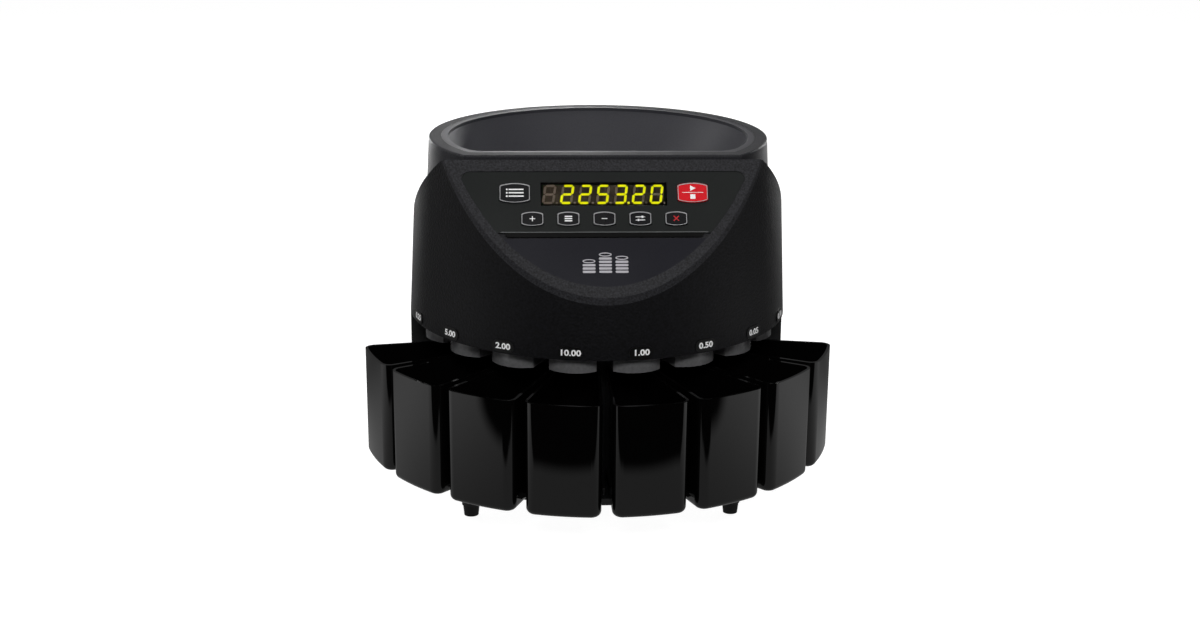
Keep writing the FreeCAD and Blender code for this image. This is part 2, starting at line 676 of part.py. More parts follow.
def make_rail():
    """Upright rail that keeps coins on the track."""
    height = "rail_top - deck_top"
    outer = cylinder("rail_outer", "rail_radius", height, 0, "drum_y", "deck_top")
    inner = cylinder("rail_inner", "rail_radius - rail_wall", f"{height} + 2 * overlap", 0, "drum_y",
                     "deck_top - overlap")
    return node(cut("coin_rail", outer, inner), "coin_rail")


def chute_loop(inset):
    """Plan of a chute, moved in by an inset: its own -Y points outwards."""
    half = f"chute_half - {inset}"
    root = f"chute_root - {inset}"
    rise = f"(chute_outer - chute_bend - {inset})"
    radius = f"(({half}) ^ 2 + {rise} ^ 2) / (2 * {rise})"
    back = f"-(chute_inner + {inset})"
    return [(f"-({root})", back), (f"-({half})", "-chute_bend"),
            (half, "-chute_bend", radius, 1), (root, back)]


def make_chute(index):
    """One coin chute under the deck."""
    name = f"coin_chute_{index + 1}"
    body = doc.addObject("PartDesign::Body", name)
    height = "deck_low - chute_low"
    pad(body, f"{name}_pad", [chute_loop(0)], 0, height)
    pocket_up(body, f"{name}_bore", [chute_loop("chute_wall")], "-overlap", f"{height} + 2 * overlap")
    on_ring(body, ring_angle(index), 0, 0, "chute_low")
    return node(body, name)


def make_sensors():
    """Coin counting sensors, inboard of the chutes."""
    sensors = [ring_box(f"sensor_{index + 1}", "sensor_width", "core_radius + body_gap",
                        "chute_inner - body_gap", "sensor_height", ring_angle(index), "deck_low - sensor_height")
               for index in range(BIN_COUNT)]
    return node(group("coin_sensors", sensors), "coin_sensors")


def make_drive_frame():
    """Plate on legs with the bearing column and the motor's seat."""
    front = "drum_y - frame_front"
    rear = "motor_y + frame_rear"
    plate = mid_box("frame_plate", "2 * frame_half", f"{rear} - ({front})", "frame_thick", 0, front, "frame_low")
    column = cylinder("frame_column", "column_radius", "deck_low - frame_low", 0, "drum_y", "frame_low")
    solids = [plate, column]
    for side in (-1, 1):
        for place, y in (("front", f"{front} + leg_inset"), ("rear", f"{rear} - leg_inset")):
            solids.append(cylinder(f"frame_leg_{place}_{'left' if side < 0 else 'right'}", "leg_radius",
                                   "frame_low - base_top", f"{side} * (frame_half - leg_inset)", y, "base_top"))
    bore = cylinder("column_bore", "bearing_radius", "deck_low", 0, "drum_y", "pulley_low")
    window = cylinder("motor_window", "motor_nose + overlap", "2 * frame_thick", 0, "motor_y",
                      "frame_low - frame_thick / 2")
    return node(cut("drive_frame", fuse("frame_solid", *solids), bore, window), "drive_frame")


def make_bearings():
    """Two ball bearings in the column."""
    rings = []
    for place, z in (("low", "frame_low + bearing_inset"),
                     ("high", "deck_low - bearing_inset - bearing_width")):
        outer = cylinder(f"bearing_{place}_outer", "bearing_radius - running_gap", "bearing_width", 0,
                         "drum_y", z)
        hole = cylinder(f"bearing_{place}_bore", "shaft_radius + running_gap",
                        "bearing_width + 2 * overlap", 0, "drum_y", f"{z} - overlap")
        rings.append(cut(f"bearing_{place}", outer, hole))
    return node(group("shaft_bearings", rings), "shaft_bearings")


def make_motor():
    """Motor can with a nose and a bore for its shaft."""
    can = cylinder("motor_can", "motor_radius", "motor_height", 0, "motor_y", "frame_low + frame_thick")
    cap = cylinder("motor_cap", "motor_radius / 2", "motor_cap_height", 0, "motor_y",
                   "frame_low + frame_thick + motor_height")
    nose = cylinder("motor_nose_boss", "motor_nose", "frame_thick + overlap", 0, "motor_y", "frame_low")
    bore = cylinder("motor_bore", "motor_shaft + running_gap", "spindle_depth + overlap", 0, "motor_y",
                    "frame_low - overlap")
    return node(cut("main_motor", fuse("motor_solid", can, cap, nose), bore), "main_motor")


def pulley_corners(radius):
    """Half section of a flanged pulley."""
    high = "pulley_low + pulley_height"
    return [(0, "pulley_low"), (f"{radius} + flange_rise", "pulley_low"),
            (f"{radius} + flange_rise", "pulley_low + pulley_flange"),
            (radius, "pulley_low + pulley_flange"), (radius, f"{high} - pulley_flange"),
            (f"{radius} + flange_rise", f"{high} - pulley_flange"), (f"{radius} + flange_rise", high), (0, high)]


def make_motor_pulley():
    """Motor pulley with the motor's shaft."""
    wheel = revolve("motor_wheel", pulley_corners("pinion_radius"), "motor_y")
    shaft = cylinder("motor_spindle", "motor_shaft", "spindle_length", 0, "motor_y", "pulley_low + overlap")
    return node(fuse("motor_pulley", wheel, shaft), "motor_pulley")


def make_drive_pulley():
    """Large pulley on the main shaft."""
    wheel = revolve("drive_wheel", pulley_corners("drive_radius"), "drum_y")
    bore = cylinder("drive_bore", "shaft_radius", "2 * pulley_height", 0, "drum_y",
                    "pulley_low - pulley_height / 2")
    return node(cut("drive_pulley", wheel, bore), "drive_pulley")


def belt_loop(offset):
    """Belt line round both pulleys, at an offset from their seats."""
    slope = "(drive_radius - pinion_radius) / (motor_y - drum_y)"
    lean = f"sqrt(1 - ({slope}) ^ 2)"
    big = f"(drive_radius + {offset})"
    small = f"(pinion_radius + {offset})"
    return [(f"{big} * {lean}", f"drum_y + {big} * {slope}"),
            (f"{small} * {lean}", f"motor_y + {small} * {slope}"),
            (0, f"motor_y + {small}", small, 1),
            (f"-{small} * {lean}", f"motor_y + {small} * {slope}", small, 1),
            (f"-{big} * {lean}", f"drum_y + {big} * {slope}"),
            (0, f"drum_y - {big}", big, 1),
            (f"{big} * {lean}", f"drum_y + {big} * {slope}", big, 1)]


def make_belt():
    """Flat drive belt."""
    body = doc.addObject("PartDesign::Body", "drive_belt")
    loops = []
    for offset in ("belt_gap", "(belt_gap + belt_thick)"):
        corners = belt_loop(offset)
        corners[0] = corners.pop()
        loops.append(corners)
    pad(body, "belt_pad", loops, "pulley_low + (pulley_height - belt_width) / 2", "belt_width")
    return node(body, "drive_belt")


CHIPS = [(-95, 44.4, 18, 18), (-68, 34.4, 12, 8), (-68, 60.4, 20, 7)]


def make_electrics():
    """Main board and power supply."""
    board = box("main_board_sheet", "board_width", "board_depth", "board_thick", "board_x", "board_y",
                "base_top + board_rise")
    chips = [box(f"main_board_chip_{i}", width, depth, "chip_height", x, y,
                 "base_top + board_rise + board_thick")
             for i, (x, y, width, depth) in enumerate(CHIPS)]
    node(fuse("main_board", board, *chips), "main_board")
    middle = "supply_y + supply_depth / 2"
    tray = mid_box("supply_tray", "supply_width", "supply_depth", "board_thick", "supply_x", "supply_y",
                   "base_top")
    core = mid_box("supply_core", "core_width", "core_depth", "core_depth", "supply_x",
                   f"{middle} - core_depth / 2", "base_top + overlap")
    coil = mid_box("supply_coil", "coil_width", "coil_depth", "coil_height", "supply_x",
                   f"{middle} - coil_depth / 2",
                   "base_top + (core_depth - coil_height) / 2 + overlap")
    return node(fuse("power_supply", tray, core, coil), "power_supply")


def socket_block(name, width, depth, height, x, y):
    """A block at the sockets' height, with its inner face at y."""
    return mid_box(name, width, depth, height, x, y, f"socket_z - ({height}) / 2")


def make_sockets():
    """Power inlet with its switch frame, and the data port."""
    face = socket_block("inlet_face", "inlet_face_width", "inlet_face_thick", "inlet_face_height",
                        "(inlet_x + rocker_x) / 2", "back_y")
    barrel = socket_block("inlet_barrel", "inlet_width", "inlet_depth", "inlet_height", "inlet_x",
                          "back_y - inlet_depth")
    frame = socket_block("rocker_frame_block", "rocker_frame", "inlet_depth", "inlet_height", "rocker_x",
                         "back_y - inlet_depth")
    hollow = socket_block("inlet_hollow", "inlet_width - 2 * inlet_wall", "inlet_depth",
                          "inlet_height - 2 * inlet_wall", "inlet_x", "back_y - inlet_floor")
    slot = socket_block("rocker_slot", "rocker_wide + 2 * body_gap", "inlet_depth", "inlet_height - 1.2",
                        "rocker_x", "back_y - inlet_floor")
    shell = cut("inlet_shell", fuse("inlet_solid", face, barrel, frame), hollow, slot)
    pins = [mid_box(f"inlet_pin_{i}", 2, "pin_length", 4, f"inlet_x + {x}", "back_y - inlet_floor - 1",
                    f"socket_z + {z}")
            for i, (x, z) in enumerate(((-7, -4.5), (7, -4.5), (0, 0.5)))]
    node(fuse("power_inlet", shell, *pins), "power_inlet")
    port = socket_block("port_block", "port_size", "port_size", "port_size", "port_x", "back_y + 0.5 - port_size")
    hole = socket_block("port_hollow", "port_size - 2 * port_wall", "port_size", "port_size - 2 * port_wall",
                        "port_x", "back_y + 2 - port_size")
    return node(cut("data_port", port, hole), "data_port")


def make_rocker():
    """Rocker of the power switch, leaning on its axis along X."""
    body = doc.addObject("PartDesign::Body", "power_switch")
    sketch = body_sketch(body, "rocker_sketch", "YZ_Plane")
    face = "rocker_depth + 0.4"
    heel = "rocker_half - 1.2"
    draw(sketch, [(face, "-rocker_half"), (face, "rocker_half", "6 * rocker_half", -1), (0, heel),
                  ("-2 * rocker_depth", 0), (0, f"-({heel})")])
    feature = body.newObject("PartDesign::Pad", "rocker_pad")
    feature.Profile = sketch
    feature.SideType = "Symmetric"
    bind(feature, Length="rocker_wide")
    turn(body, (1, 0, 0), "-rocker_tilt")
    put(body, "rocker_x", "back_y - rocker_depth", "socket_z")
    return node(body, "power_switch")


def make_lower_hinge():
    """Lower leaf with two knuckles, and the pin."""
    leaf = mid_box("low_leaf", "2 * hinge_half", "leaf_thick", "leaf_height", 0, "back_y",
                   "hinge_z - leaf_height")
    notch = mid_box("low_notch", "2 * (hinge_middle + body_gap)", "2 * leaf_height", "leaf_height", 0,
                    "back_y - leaf_height", "hinge_z - hinge_barrel - body_gap")
    width = "hinge_half - hinge_middle - body_gap"
    barrels = [lying_cylinder("low_barrel_left", "hinge_barrel", width, "-hinge_half", "hinge_y", "hinge_z"),
               lying_cylinder("low_barrel_right", "hinge_barrel", width, "hinge_middle + body_gap",
                              "hinge_y", "hinge_z")]
    bore = lying_cylinder("low_bore", "hinge_pin", FAR, -FAR / 2, "hinge_y", "hinge_z")
    leaf_cut = cut("low_leaf_cut", leaf, notch)
    node(cut("hinge_lower_leaf", fuse("low_hinge_solid", leaf_cut, *barrels), bore), "hinge_lower_leaf")
    pin_solid = lying_cylinder("hinge_pin_rod", "hinge_pin", "2 * hinge_half + overlap", "-hinge_half - overlap / 2",
                               "hinge_y", "hinge_z")
    return node(pin_solid, "hinge_pin")


# ---- turning parts ---------------------------------------------------------------------------

def make_rotor():
    """Main shaft, sorting disc, cap and coin fingers."""
    shaft = cylinder("main_shaft", "shaft_radius", "disc_low + disc_thick - shaft_low", 0, "drum_y",
                     "shaft_low")
    node(shaft, "main_shaft")
    disc = cylinder("disc_plate", "disc_radius", "disc_thick", 0, "drum_y", "disc_low")
    bore = cylinder("disc_bore", "shaft_radius", 20, 0, "drum_y", "disc_low - 5")
    node(cut("sorting_disc", disc, bore), "sorting_disc")
    top = "disc_low + disc_thick"
    cap = cone("cap_cone", "cap_radius", "cap_radius / 4", "cap_height", 0, "drum_y", top)
    rounded = round_edges("rotor_cap", cap, "cap_radius / 8",
                          lambda e: e.BoundBox.ZMin > value(f"{top} + cap_height") - 0.01
                          and isinstance(e.Curve, Part.Circle))
    node(rounded, "rotor_cap")
    fingers = []
    for index in range(int(value("finger_count"))):
        angle = f"{index} * 360 / finger_count"
        arm = finger_box(f"finger_arm_{index}", "disc_radius - 14", "finger_reach", top, angle)
        tip = finger_box(f"finger_tip_{index}", "disc_radius + 1.5", "finger_reach", "deck_top + 1", angle)
        fingers.append(fuse(f"finger_{index}", arm, tip))
    return node(group("coin_fingers", fingers), "coin_fingers")


def finger_box(name, inner, outer, low, angle):
    """A block of a coin finger, up to the finger's top."""
    solid = doc.addObject("Part::Box", name)
    bind(solid, Length="finger_width", Width=f"({outer}) - ({inner})",
         Height=f"disc_low + disc_thick + finger_thick - ({low})")
    turn(solid, (0, 0, 1), angle)
    x = f"-finger_width / 2 * cos({angle}) + ({outer}) * sin({angle})"
    y = f"drum_y - finger_width / 2 * sin({angle}) - ({outer}) * cos({angle})"
    return put(solid, x, y, low)


# ---- coin bins -------------------------------------------------------------------------------

def bin_loop(inset):
    """Plan of a bin at its floor, moved in by an inset: its own -Y points outwards."""
    shift = f"{inset} / cos(bin_half)"
    corners = []
    for radius, sign in ((f"(bin_inner + {inset})", -1), (f"(bin_outer - {inset})", -1),
                         (f"(bin_outer - {inset})", 1), (f"(bin_inner + {inset})", 1)):
        lean = f"asin(({radius} * sin(bin_half) - {shift}) / {radius})"
        corners.append([f"{sign} * {radius} * sin({lean})", f"-{radius} * cos({lean})"])
    corners[2] += [f"bin_outer - {inset}", 1]
    corners[0] += [f"bin_inner + {inset}", -1]
    return [tuple(c) for c in corners]


def upright(edge):
    """Whether an edge runs from floor to rim."""
    ends = [v.Point for v in edge.Vertexes]
    return len(ends) == 2 and abs(ends[0].z - ends[1].z) > 30


def bin_block(name, index, inset, floor):
    """A drafted block with rounded corners and foot, at a bin's place: its outside or its hollow."""
    body = doc.addObject("PartDesign::Body", name)
    pad(body, f"{name}_pad", [bin_loop(inset)], 0, "bin_top - bin_low", "bin_draft")
    body_fillet(body, f"{name}_corners", f"bin_corner - {inset}", upright)
    body_fillet(body, f"{name}_foot", f"bin_foot - {inset} / 2", lambda e: e.BoundBox.ZMax < 0.01)
    return on_ring(body, ring_angle(index), 0, 0, f"bin_low + {floor}")


def make_bin(index):
    """One coin bin: drafted walls, rounded corners and floor."""
    name = f"coin_bin_{index + 1}"
    outside = bin_block(f"{name}_outside", index, 0, 0)
    hollow = bin_block(f"{name}_hollow", index, "bin_wall", "bin_wall")
    return node(cut(name, outside, hollow), name)


# ---- upper unit ------------------------------------------------------------------------------

def make_casing():
    """Drum of the upper unit with its sloped front and its shoulder."""
    outer = common("case_outer", drum_cone("case_cone", 0, "part_z", "hopper_top"),
                   case_profile("case_side", "-bezel_thick", 0, 0))
    inner = common("case_inner", drum_cone("hollow_cone", "shell_wall", "part_z - overlap", "hopper_top"),
                   case_profile("hollow_side", "-bezel_thick - shell_wall", "shell_wall", "shell_wall"))
    well = common("case_well",
                  cylinder("well_hole", "hopper_radius - well_inset", FAR, 0, "hopper_y", "part_z"),
                  box("well_block", FAR, FAR, FAR, -FAR / 2, "ring_front + well_inset", 0))
    window = common("case_window", drum_cone("window_cone", "window_inset", "part_z", "hopper_top"),
                    panel_box("window_slab", FAR, "window_low", "panel_length - window_margin", DEEP, PROUD))
    return node(cut("upper_casing", cut("case_shell", outer, inner), well, window), "upper_casing")


def key_body(name, width, side, bow, x, s, low, high, gap=0):
    """A key's block, or with a gap the hole that it moves in."""
    body = doc.addObject("PartDesign::Body", name)
    half = f"(({width}) / 2 + {gap})"
    edge = f"(({side}) / 2 + {gap})"
    radius = f"({half} ^ 2 + ({bow}) ^ 2) / (2 * ({bow}))"
    loop = [(f"-{half}", f"-{edge}"), (half, f"-{edge}", radius, 1), (half, edge),
            (f"-{half}", edge, radius, 1)]
    pad(body, f"{name}_pad", [loop], 0, f"({high}) - ({low})")
    span = value(f"({high}) - ({low})")
    body_fillet(body, f"{name}_corners", "key_corner",
                lambda e: abs(e.Length - span) < 0.001 and e.BoundBox.ZLength > span - 0.001)
    return on_panel(body, x, s, low)


def key_layout():
    """(name, width, side, bow, x, s) of every key."""
    rows = [(name, "key_width", "key_side", "key_bow", f"key_pitch * {i - 2}", "key_row")
            for i, name in enumerate(SMALL_KEYS)]
    rows += [(name, "bigkey_width", "bigkey_side", "bigkey_bow", f"{sign} * bigkey_x", "bigkey_row")
             for name, sign in LARGE_KEYS]
    return rows


def key_holes(prefix, low, high):
    """Holes for all the keys."""
    return [key_body(f"{prefix}_{name}", width, side, bow, x, s, low, high, "key_gap")
            for name, width, side, bow, x, s in key_layout()]


def make_keys():
    """Seven keys, each with a flange behind the bezel."""
    for name, width, side, bow, x, s in key_layout():
        block = key_body(f"{name}_block", width, side, bow, x, s, "-key_depth", "key_proud")
        reach = f"({side}) / 2 + {bow} + flange_edge"
        flange = panel_box(f"{name}_flange", f"{width} + 2 * flange_edge", f"{s} - ({reach})", f"{s} + {reach}",
                           "-flange_depth - flange_thick", "-flange_depth", x)
        node(fuse(name, block, flange), name)


PANEL_FOOT = -30.0  # slabs of the panel start this far below its lowest point
BOARD_PEGS = [(-84, 88), (84, 88), (-70, 56), (70, 56)]


def display_box(name, inset, n_low, n_high):
    """A box at the display, moved in by an inset."""
    half = f"display_height / 2 - ({inset})"
    return panel_box(name, f"display_width - 2 * ({inset})", f"display_s - ({half})", f"display_s + ({half})",
                     n_low, n_high)


def make_bezel():
    """Frame of the control panel with the seat for its overlay."""
    slab = panel_box("bezel_slab", FAR, PANEL_FOOT, "panel_length", "-bezel_thick", 0)
    plate = common("bezel_plate", slab, drum_cone("bezel_cone", 0, "part_z", "hopper_top + 5"))
    seat_slab = panel_box("seat_slab", FAR, PANEL_FOOT, "overlay_high + seat_gap", "-bezel_seat", PROUD)
    seat = common("bezel_seat", seat_slab, drum_cone("seat_cone", "bezel_rim", "part_z", "hopper_top + 5"))
    rounded = round_edges("seat_rounded", seat, "overlay_corner + seat_gap", seat_corner)
    groove = common("bezel_groove",
                    panel_box("groove_slab", FAR, "groove_low", "overlay_low", "-groove_depth", 0),
                    drum_cone("groove_cone", "bezel_rim + body_gap", "part_z", "hopper_top"))
    window = display_box("display_hole", "lens_step", DEEP, PROUD)
    frame = cut("bezel_frame", plate, rounded, groove, window, *key_holes("bezel_hole", DEEP, PROUD))
    posts = [panel_peg(f"board_peg_{i}", "peg_radius", x, s, "board_n", "-bezel_thick / 2")
             for i, (x, s) in enumerate(BOARD_PEGS)]
    return node(fuse("panel_bezel", frame, *posts), "panel_bezel")


def seat_corner(edge):
    """Whether an edge is one of the upper corners of the seat or the overlay."""
    y, z = panel_point("overlay_high", 0)
    middle = edge.CenterOfMass
    near = abs(middle.y - value(y)) < 6 and abs(middle.z - value(z)) < 6
    return near and abs(middle.x) > 50 and edge.Length < 12


def make_overlay():
    """Keypad overlay, lower panel and display window."""
    face = "-overlay_sunk"
    cone_in = drum_cone("overlay_cone", "bezel_rim + seat_gap", "part_z", "hopper_top")
    thick_slab = panel_box("overlay_slab", FAR, "overlay_low", "overlay_high", "-bezel_seat", PROUD)
    rounded = round_edges("overlay_rounded", common("overlay_plate", thick_slab, cone_in), "overlay_corner",
                          seat_corner)
    blank = common("overlay_blank", rounded, panel_box("overlay_skin", FAR, 0, FAR / 2, "-bezel_seat", face))
    window = display_box("overlay_window", 0, DEEP, PROUD)
    node(cut("keypad_overlay", blank, window, *key_holes("overlay_hole", DEEP, PROUD)), "keypad_overlay")
    lower_slab = panel_box("lower_slab", FAR, PANEL_FOOT, "groove_low", "-bezel_seat", face)
    lower_cone = drum_cone("lower_cone", "bezel_rim + seat_gap", "part_z", "hopper_top")
    node(common("lower_panel", lower_slab, lower_cone), "lower_panel")
    return node(display_box("display_window", "fit_gap", "-bezel_seat", "-overlay_sunk - fit_gap"),
                "display_window")


def make_panel_electrics():
    """Display module and control board with its key switches."""
    node(display_box("display_module", "module_inset", "board_n", "-bezel_seat - fit_gap"), "display_module")
    board = panel_box("board_sheet", "control_width", "control_low", "control_high", "board_n - board_thick",
                      "board_n")
    switches = [panel_box(f"switch_{name}", "switch_size", f"{s} - switch_size / 2", f"{s} + switch_size / 2",
                          "board_n", "-switch_top", x)
                for name, width, side, bow, x, s in key_layout()]
    return node(fuse("control_board", board, *switches), "control_board")


def make_hopper_ring():
    """Ring round the hopper, cut straight in front, with the ledge behind the panel."""
    low = "part_z + ring_skirt"
    spread = f"(hopper_top - ({low})) * tan(hopper_taper)"
    step = "hopper_top - lip_thick - fit_gap"
    corners = [("hopper_radius", "hopper_top"), (f"hopper_radius + {spread}", low),
               (f"hopper_radius + {spread} - shell_wall", low),
               ("hopper_radius - shell_wall", "hopper_top - 2 * lip_thick"),
               ("ring_joint - joint_step", "hopper_top - 2 * lip_thick"), ("ring_joint - joint_step", step),
               ("ring_joint", step), ("ring_joint", "hopper_top")]
    hoop = revolve("hoop", list(reversed(corners)), "hopper_y")
    front = box("hoop_block", FAR, FAR, FAR, -FAR / 2, "ring_front", 0)
    ledge = common("ledge",
                   cylinder("ledge_disc", "hopper_radius", "2 * lip_thick", 0, "hopper_y",
                            "hopper_top - 2 * lip_thick"),
                   box("ledge_block", FAR, "bowl_front - front_ledge - ring_front", FAR, -FAR / 2, "ring_front", 0))
    solid = fuse("ring_solid", common("hoop_cut", hoop, front), ledge)
    below = common("ring_trim", drum_cone("trim_cone", DEEP, "part_z", "hopper_top"),
                   case_profile("trim_side", "running_gap", 0, DEEP))
    trimmed = cut("ring_trimmed", solid, below)
    edge = round_edges("hopper_ring", trimmed, "ring_edge", outer_top_edge)
    return node(edge, "hopper_ring")


def outer_top_edge(edge):
    """Whether an edge is on the outer rim of the hopper ring's top face."""
    flat = edge.BoundBox.ZMin > value("hopper_top") - 0.01
    middle = edge.CenterOfMass
    spot = edge.valueAt((edge.FirstParameter + edge.LastParameter) / 2)
    reach = math.hypot(spot.x, spot.y - value("hopper_y"))
    on_front = abs(middle.y - value("ring_front")) < 0.01
    return flat and (on_front or abs(reach - value("hopper_radius")) < 0.05)


def bowl_corners(inset):
    """Half section of the bowl's hollow, or with a negative inset of its outside."""
    return [(0, f"neck_low - overlap + ({inset})"), (f"neck_radius - ({inset})", f"neck_low - overlap + ({inset})"),
            (f"neck_radius - ({inset})", "neck_top"),
            (f"lip_radius - ({inset})", "bowl_shoulder"), (f"lip_radius - ({inset})", f"hopper_top + overlap + ({inset})"),
            (0, f"hopper_top + overlap + ({inset})")]


def bowl_front_block(name, inset):
    """Everything behind the bowl's leaning front wall."""
    solid = doc.addObject("Part::Box", name)
    bind(solid, Length=FAR, Width=FAR, Height=FAR)
    turn(solid, (1, 0, 0), "bowl_lean")
    drop = FAR / 3
    y = f"bowl_front + ({inset}) / cos(bowl_lean) + {drop} * tan(bowl_lean)"
    return put(solid, -FAR / 2, y, f"hopper_top - {drop}")


def mouth_loop():
    """Plan of the bowl's mouth: a circle cut straight in front, with rounded corners."""
    front = "(hopper_y - bowl_front + overlap)"
    side = f"sqrt((lip_radius - bowl_corner) ^ 2 - ({front} - bowl_corner) ^ 2)"
    scale = "lip_radius / (lip_radius - bowl_corner)"
    x = f"{side} * {scale}"
    y = f"-({front} - bowl_corner) * {scale}"
    return [(x, y, "bowl_corner", 1), ("lip_radius", 0, "lip_radius", 1), (0, "lip_radius", "lip_radius", 1),
            ("-lip_radius", 0, "lip_radius", 1), (f"-{x}", y, "lip_radius", 1),
            (f"-{side}", f"-{front}", "bowl_corner", 1), (side, f"-{front}")]


def make_bowl():
    """Hopper bowl: a lip, a leaning front wall and a cone down to its neck."""
    wall = "bowl_wall"
    outer = common("bowl_outer", revolve("bowl_outer_turn", bowl_corners(f"-{wall}"), "hopper_y"),
                   bowl_front_block("bowl_outer_block", f"-{wall}"))
    top_cut = box("bowl_top_cut", FAR, FAR, FAR, -FAR / 2, -FAR / 2, "hopper_top - fit_gap")
    outer_low = cut("bowl_outer_low", outer, top_cut)
    mouth = doc.addObject("PartDesign::Body", "bowl_mouth")
    pad(mouth, "bowl_mouth_pad", [mouth_loop()], "neck_low - overlap", "hopper_top - neck_low + 3 * overlap")
    put(mouth, 0, "hopper_y", 0)
    inner = common("bowl_inner", revolve("bowl_inner_turn", bowl_corners(0), "hopper_y"), mouth,
                   bowl_front_block("bowl_inner_block", 0))
    lip = common("bowl_lip",
                 cylinder("lip_disc", "ring_joint - fit_gap", "lip_thick - fit_gap", 0, "hopper_y",
                          "hopper_top - lip_thick"),
                 box("lip_block", FAR, FAR, FAR, -FAR / 2, "bowl_front - front_ledge + fit_gap", 0))
    solid = fuse("bowl_solid", outer_low, lip)
    neck_cut = box("bowl_neck_cut", FAR, FAR, 50, -FAR / 2, -FAR / 2, "neck_low - 50")
    return node(cut("hopper_bowl", solid, inner, neck_cut), "hopper_bowl")


def make_labels():
    """Value labels on the drum, one over every chute."""
    low = "label_z - label_height"
    high = "label_z + label_height"
    skin = cut("label_skin", drum_cone("label_outer", "-label_thick", low, high),
               drum_cone("label_inner", 0, f"{low} - overlap", f"{high} + overlap"))
    pills = [label_pill(index) for index in range(BIN_COUNT)]
    return node(common("value_labels", skin, fuse("label_pills", *pills)), "value_labels")


def label_pill(index):
    """A long round-ended block that points out of the ring's centre."""
    body = doc.addObject("PartDesign::Body", f"label_pill_{index + 1}")
    sketch = body_sketch(body, f"label_pill_{index + 1}_sketch", "XZ_Plane", "drum_radius / 2")
    flat = "(label_width - label_height) / 2"
    half = "label_height / 2"
    draw(sketch, [(f"-({flat})", f"-{half}", half, 1), (flat, f"-{half}"), (f"{flat} + {half}", 0, half, 1),
                  (flat, half, half, 1), (f"-({flat})", half), (f"-({flat}) - {half}", 0, half, 1)])
    feature = body.newObject("PartDesign::Pad", f"label_pill_{index + 1}_pad")
    feature.Profile = sketch
    bind(feature, Length="drum_radius")
    return on_ring(body, ring_angle(index), 0, 0, "label_z")


def make_upper_hinge():
    """Upper leaf with the middle knuckle."""
    leaf = mid_box("high_leaf", "2 * hinge_half", "leaf_thick", "leaf_height", 0, "back_y", "hinge_z + body_gap")
    sides = [box(f"high_notch_{side}", "hinge_half", "2 * leaf_height", "hinge_barrel + body_gap", x,
                 "back_y - leaf_height", "hinge_z")
             for side, x in (("left", "-hinge_half - hinge_middle"), ("right", "hinge_middle"))]
    barrel = lying_cylinder("high_barrel", "hinge_barrel", "2 * hinge_middle", "-hinge_middle", "hinge_y",
                            "hinge_z")
    bore = lying_cylinder("high_bore", "hinge_pin + running_gap", FAR, -FAR / 2, "hinge_y", "hinge_z")
    solid = fuse("high_hinge_solid", cut("high_leaf_cut", leaf, *sides), barrel)
    return node(cut("hinge_upper_leaf", solid, bore), "hinge_upper_leaf")


# ---- build, check and write --------------------------------------------------------------------

def build():
    """Make every sub-part."""
    make_base()
    make_feet()
    make_base_screws()
    make_lower_housing()
    make_deck()
    make_rail()
    for index in range(BIN_COUNT):
        make_chute(index)
        make_bin(index)
    make_sensors()
    make_drive_frame()
    make_bearings()
    make_motor()
    make_motor_pulley()
    make_drive_pulley()
    make_belt()
    make_electrics()
    make_sockets()
    make_rocker()
    make_lower_hinge()
    make_rotor()
    make_casing()
    make_bezel()
    make_overlay()
    make_panel_electrics()
    make_keys()
    make_hopper_ring()
    make_bowl()
    make_labels()
    make_upper_hinge()


def check():
    """Stop if any object failed or any sub-part is not a valid solid."""
    for thing in doc.Objects:
        if "Invalid" in thing.State or "Error" in thing.State:
            raise RuntimeError(f"{thing.Name} failed: {thing.State}")
    for thing in nodes:
        shape = thing.Shape
        if shape.isNull() or not shape.isValid() or not shape.Solids:
            raise RuntimeError(f"{thing.Label} has no valid solid")


build()
doc.recompute()
check()
os.makedirs("parts", exist_ok=True)
for thing in nodes:
    thing.Shape.exportStep(f"parts/{thing.Label}.step")
    print(thing.Label, len(thing.Shape.Solids), round(thing.Shape.Volume))
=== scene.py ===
import json
import math

import bmesh
import bpy
from mathutils import Matrix, Vector
from mathutils.geometry import tessellate_polygon


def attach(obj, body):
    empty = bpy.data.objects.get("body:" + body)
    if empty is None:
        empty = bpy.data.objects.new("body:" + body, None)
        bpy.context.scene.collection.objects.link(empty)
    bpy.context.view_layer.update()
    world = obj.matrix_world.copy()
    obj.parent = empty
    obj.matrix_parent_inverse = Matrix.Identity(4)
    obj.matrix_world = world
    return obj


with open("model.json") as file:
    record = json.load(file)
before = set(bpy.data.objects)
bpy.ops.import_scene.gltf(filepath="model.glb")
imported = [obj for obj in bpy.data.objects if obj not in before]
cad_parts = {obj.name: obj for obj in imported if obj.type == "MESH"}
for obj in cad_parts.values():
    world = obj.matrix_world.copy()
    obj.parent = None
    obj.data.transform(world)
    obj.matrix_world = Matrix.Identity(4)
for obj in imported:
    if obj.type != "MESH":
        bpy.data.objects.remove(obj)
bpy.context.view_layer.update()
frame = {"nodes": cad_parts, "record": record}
NODES = frame["nodes"]

# Metres in a millimetre. The sizes below are in millimetres and degrees, as in the CAD part.
MM = 0.001

# The drum and the ring of bins, chutes and labels round it.
DRUM_Y = 14.9
DRUM_RADIUS = 142.6
DRUM_TAPER = 2.7
PART_Z = 133.5
RING_PITCH = 20.15
BIN_COUNT = 8
BACK_Y = 150.9
DECK_TOP = 137.1
DISC_TOP = 141.3
HOPPER_Y = 19.4
HOPPER_TOP = 266.0

# The sloping control panel: its foot, and how deep the faces of its plates lie under its rim.
PANEL_ANGLE = 52.85
PANEL_Y = -125.6
PANEL_Z = 178.5
FACE_SUNK = 0.3

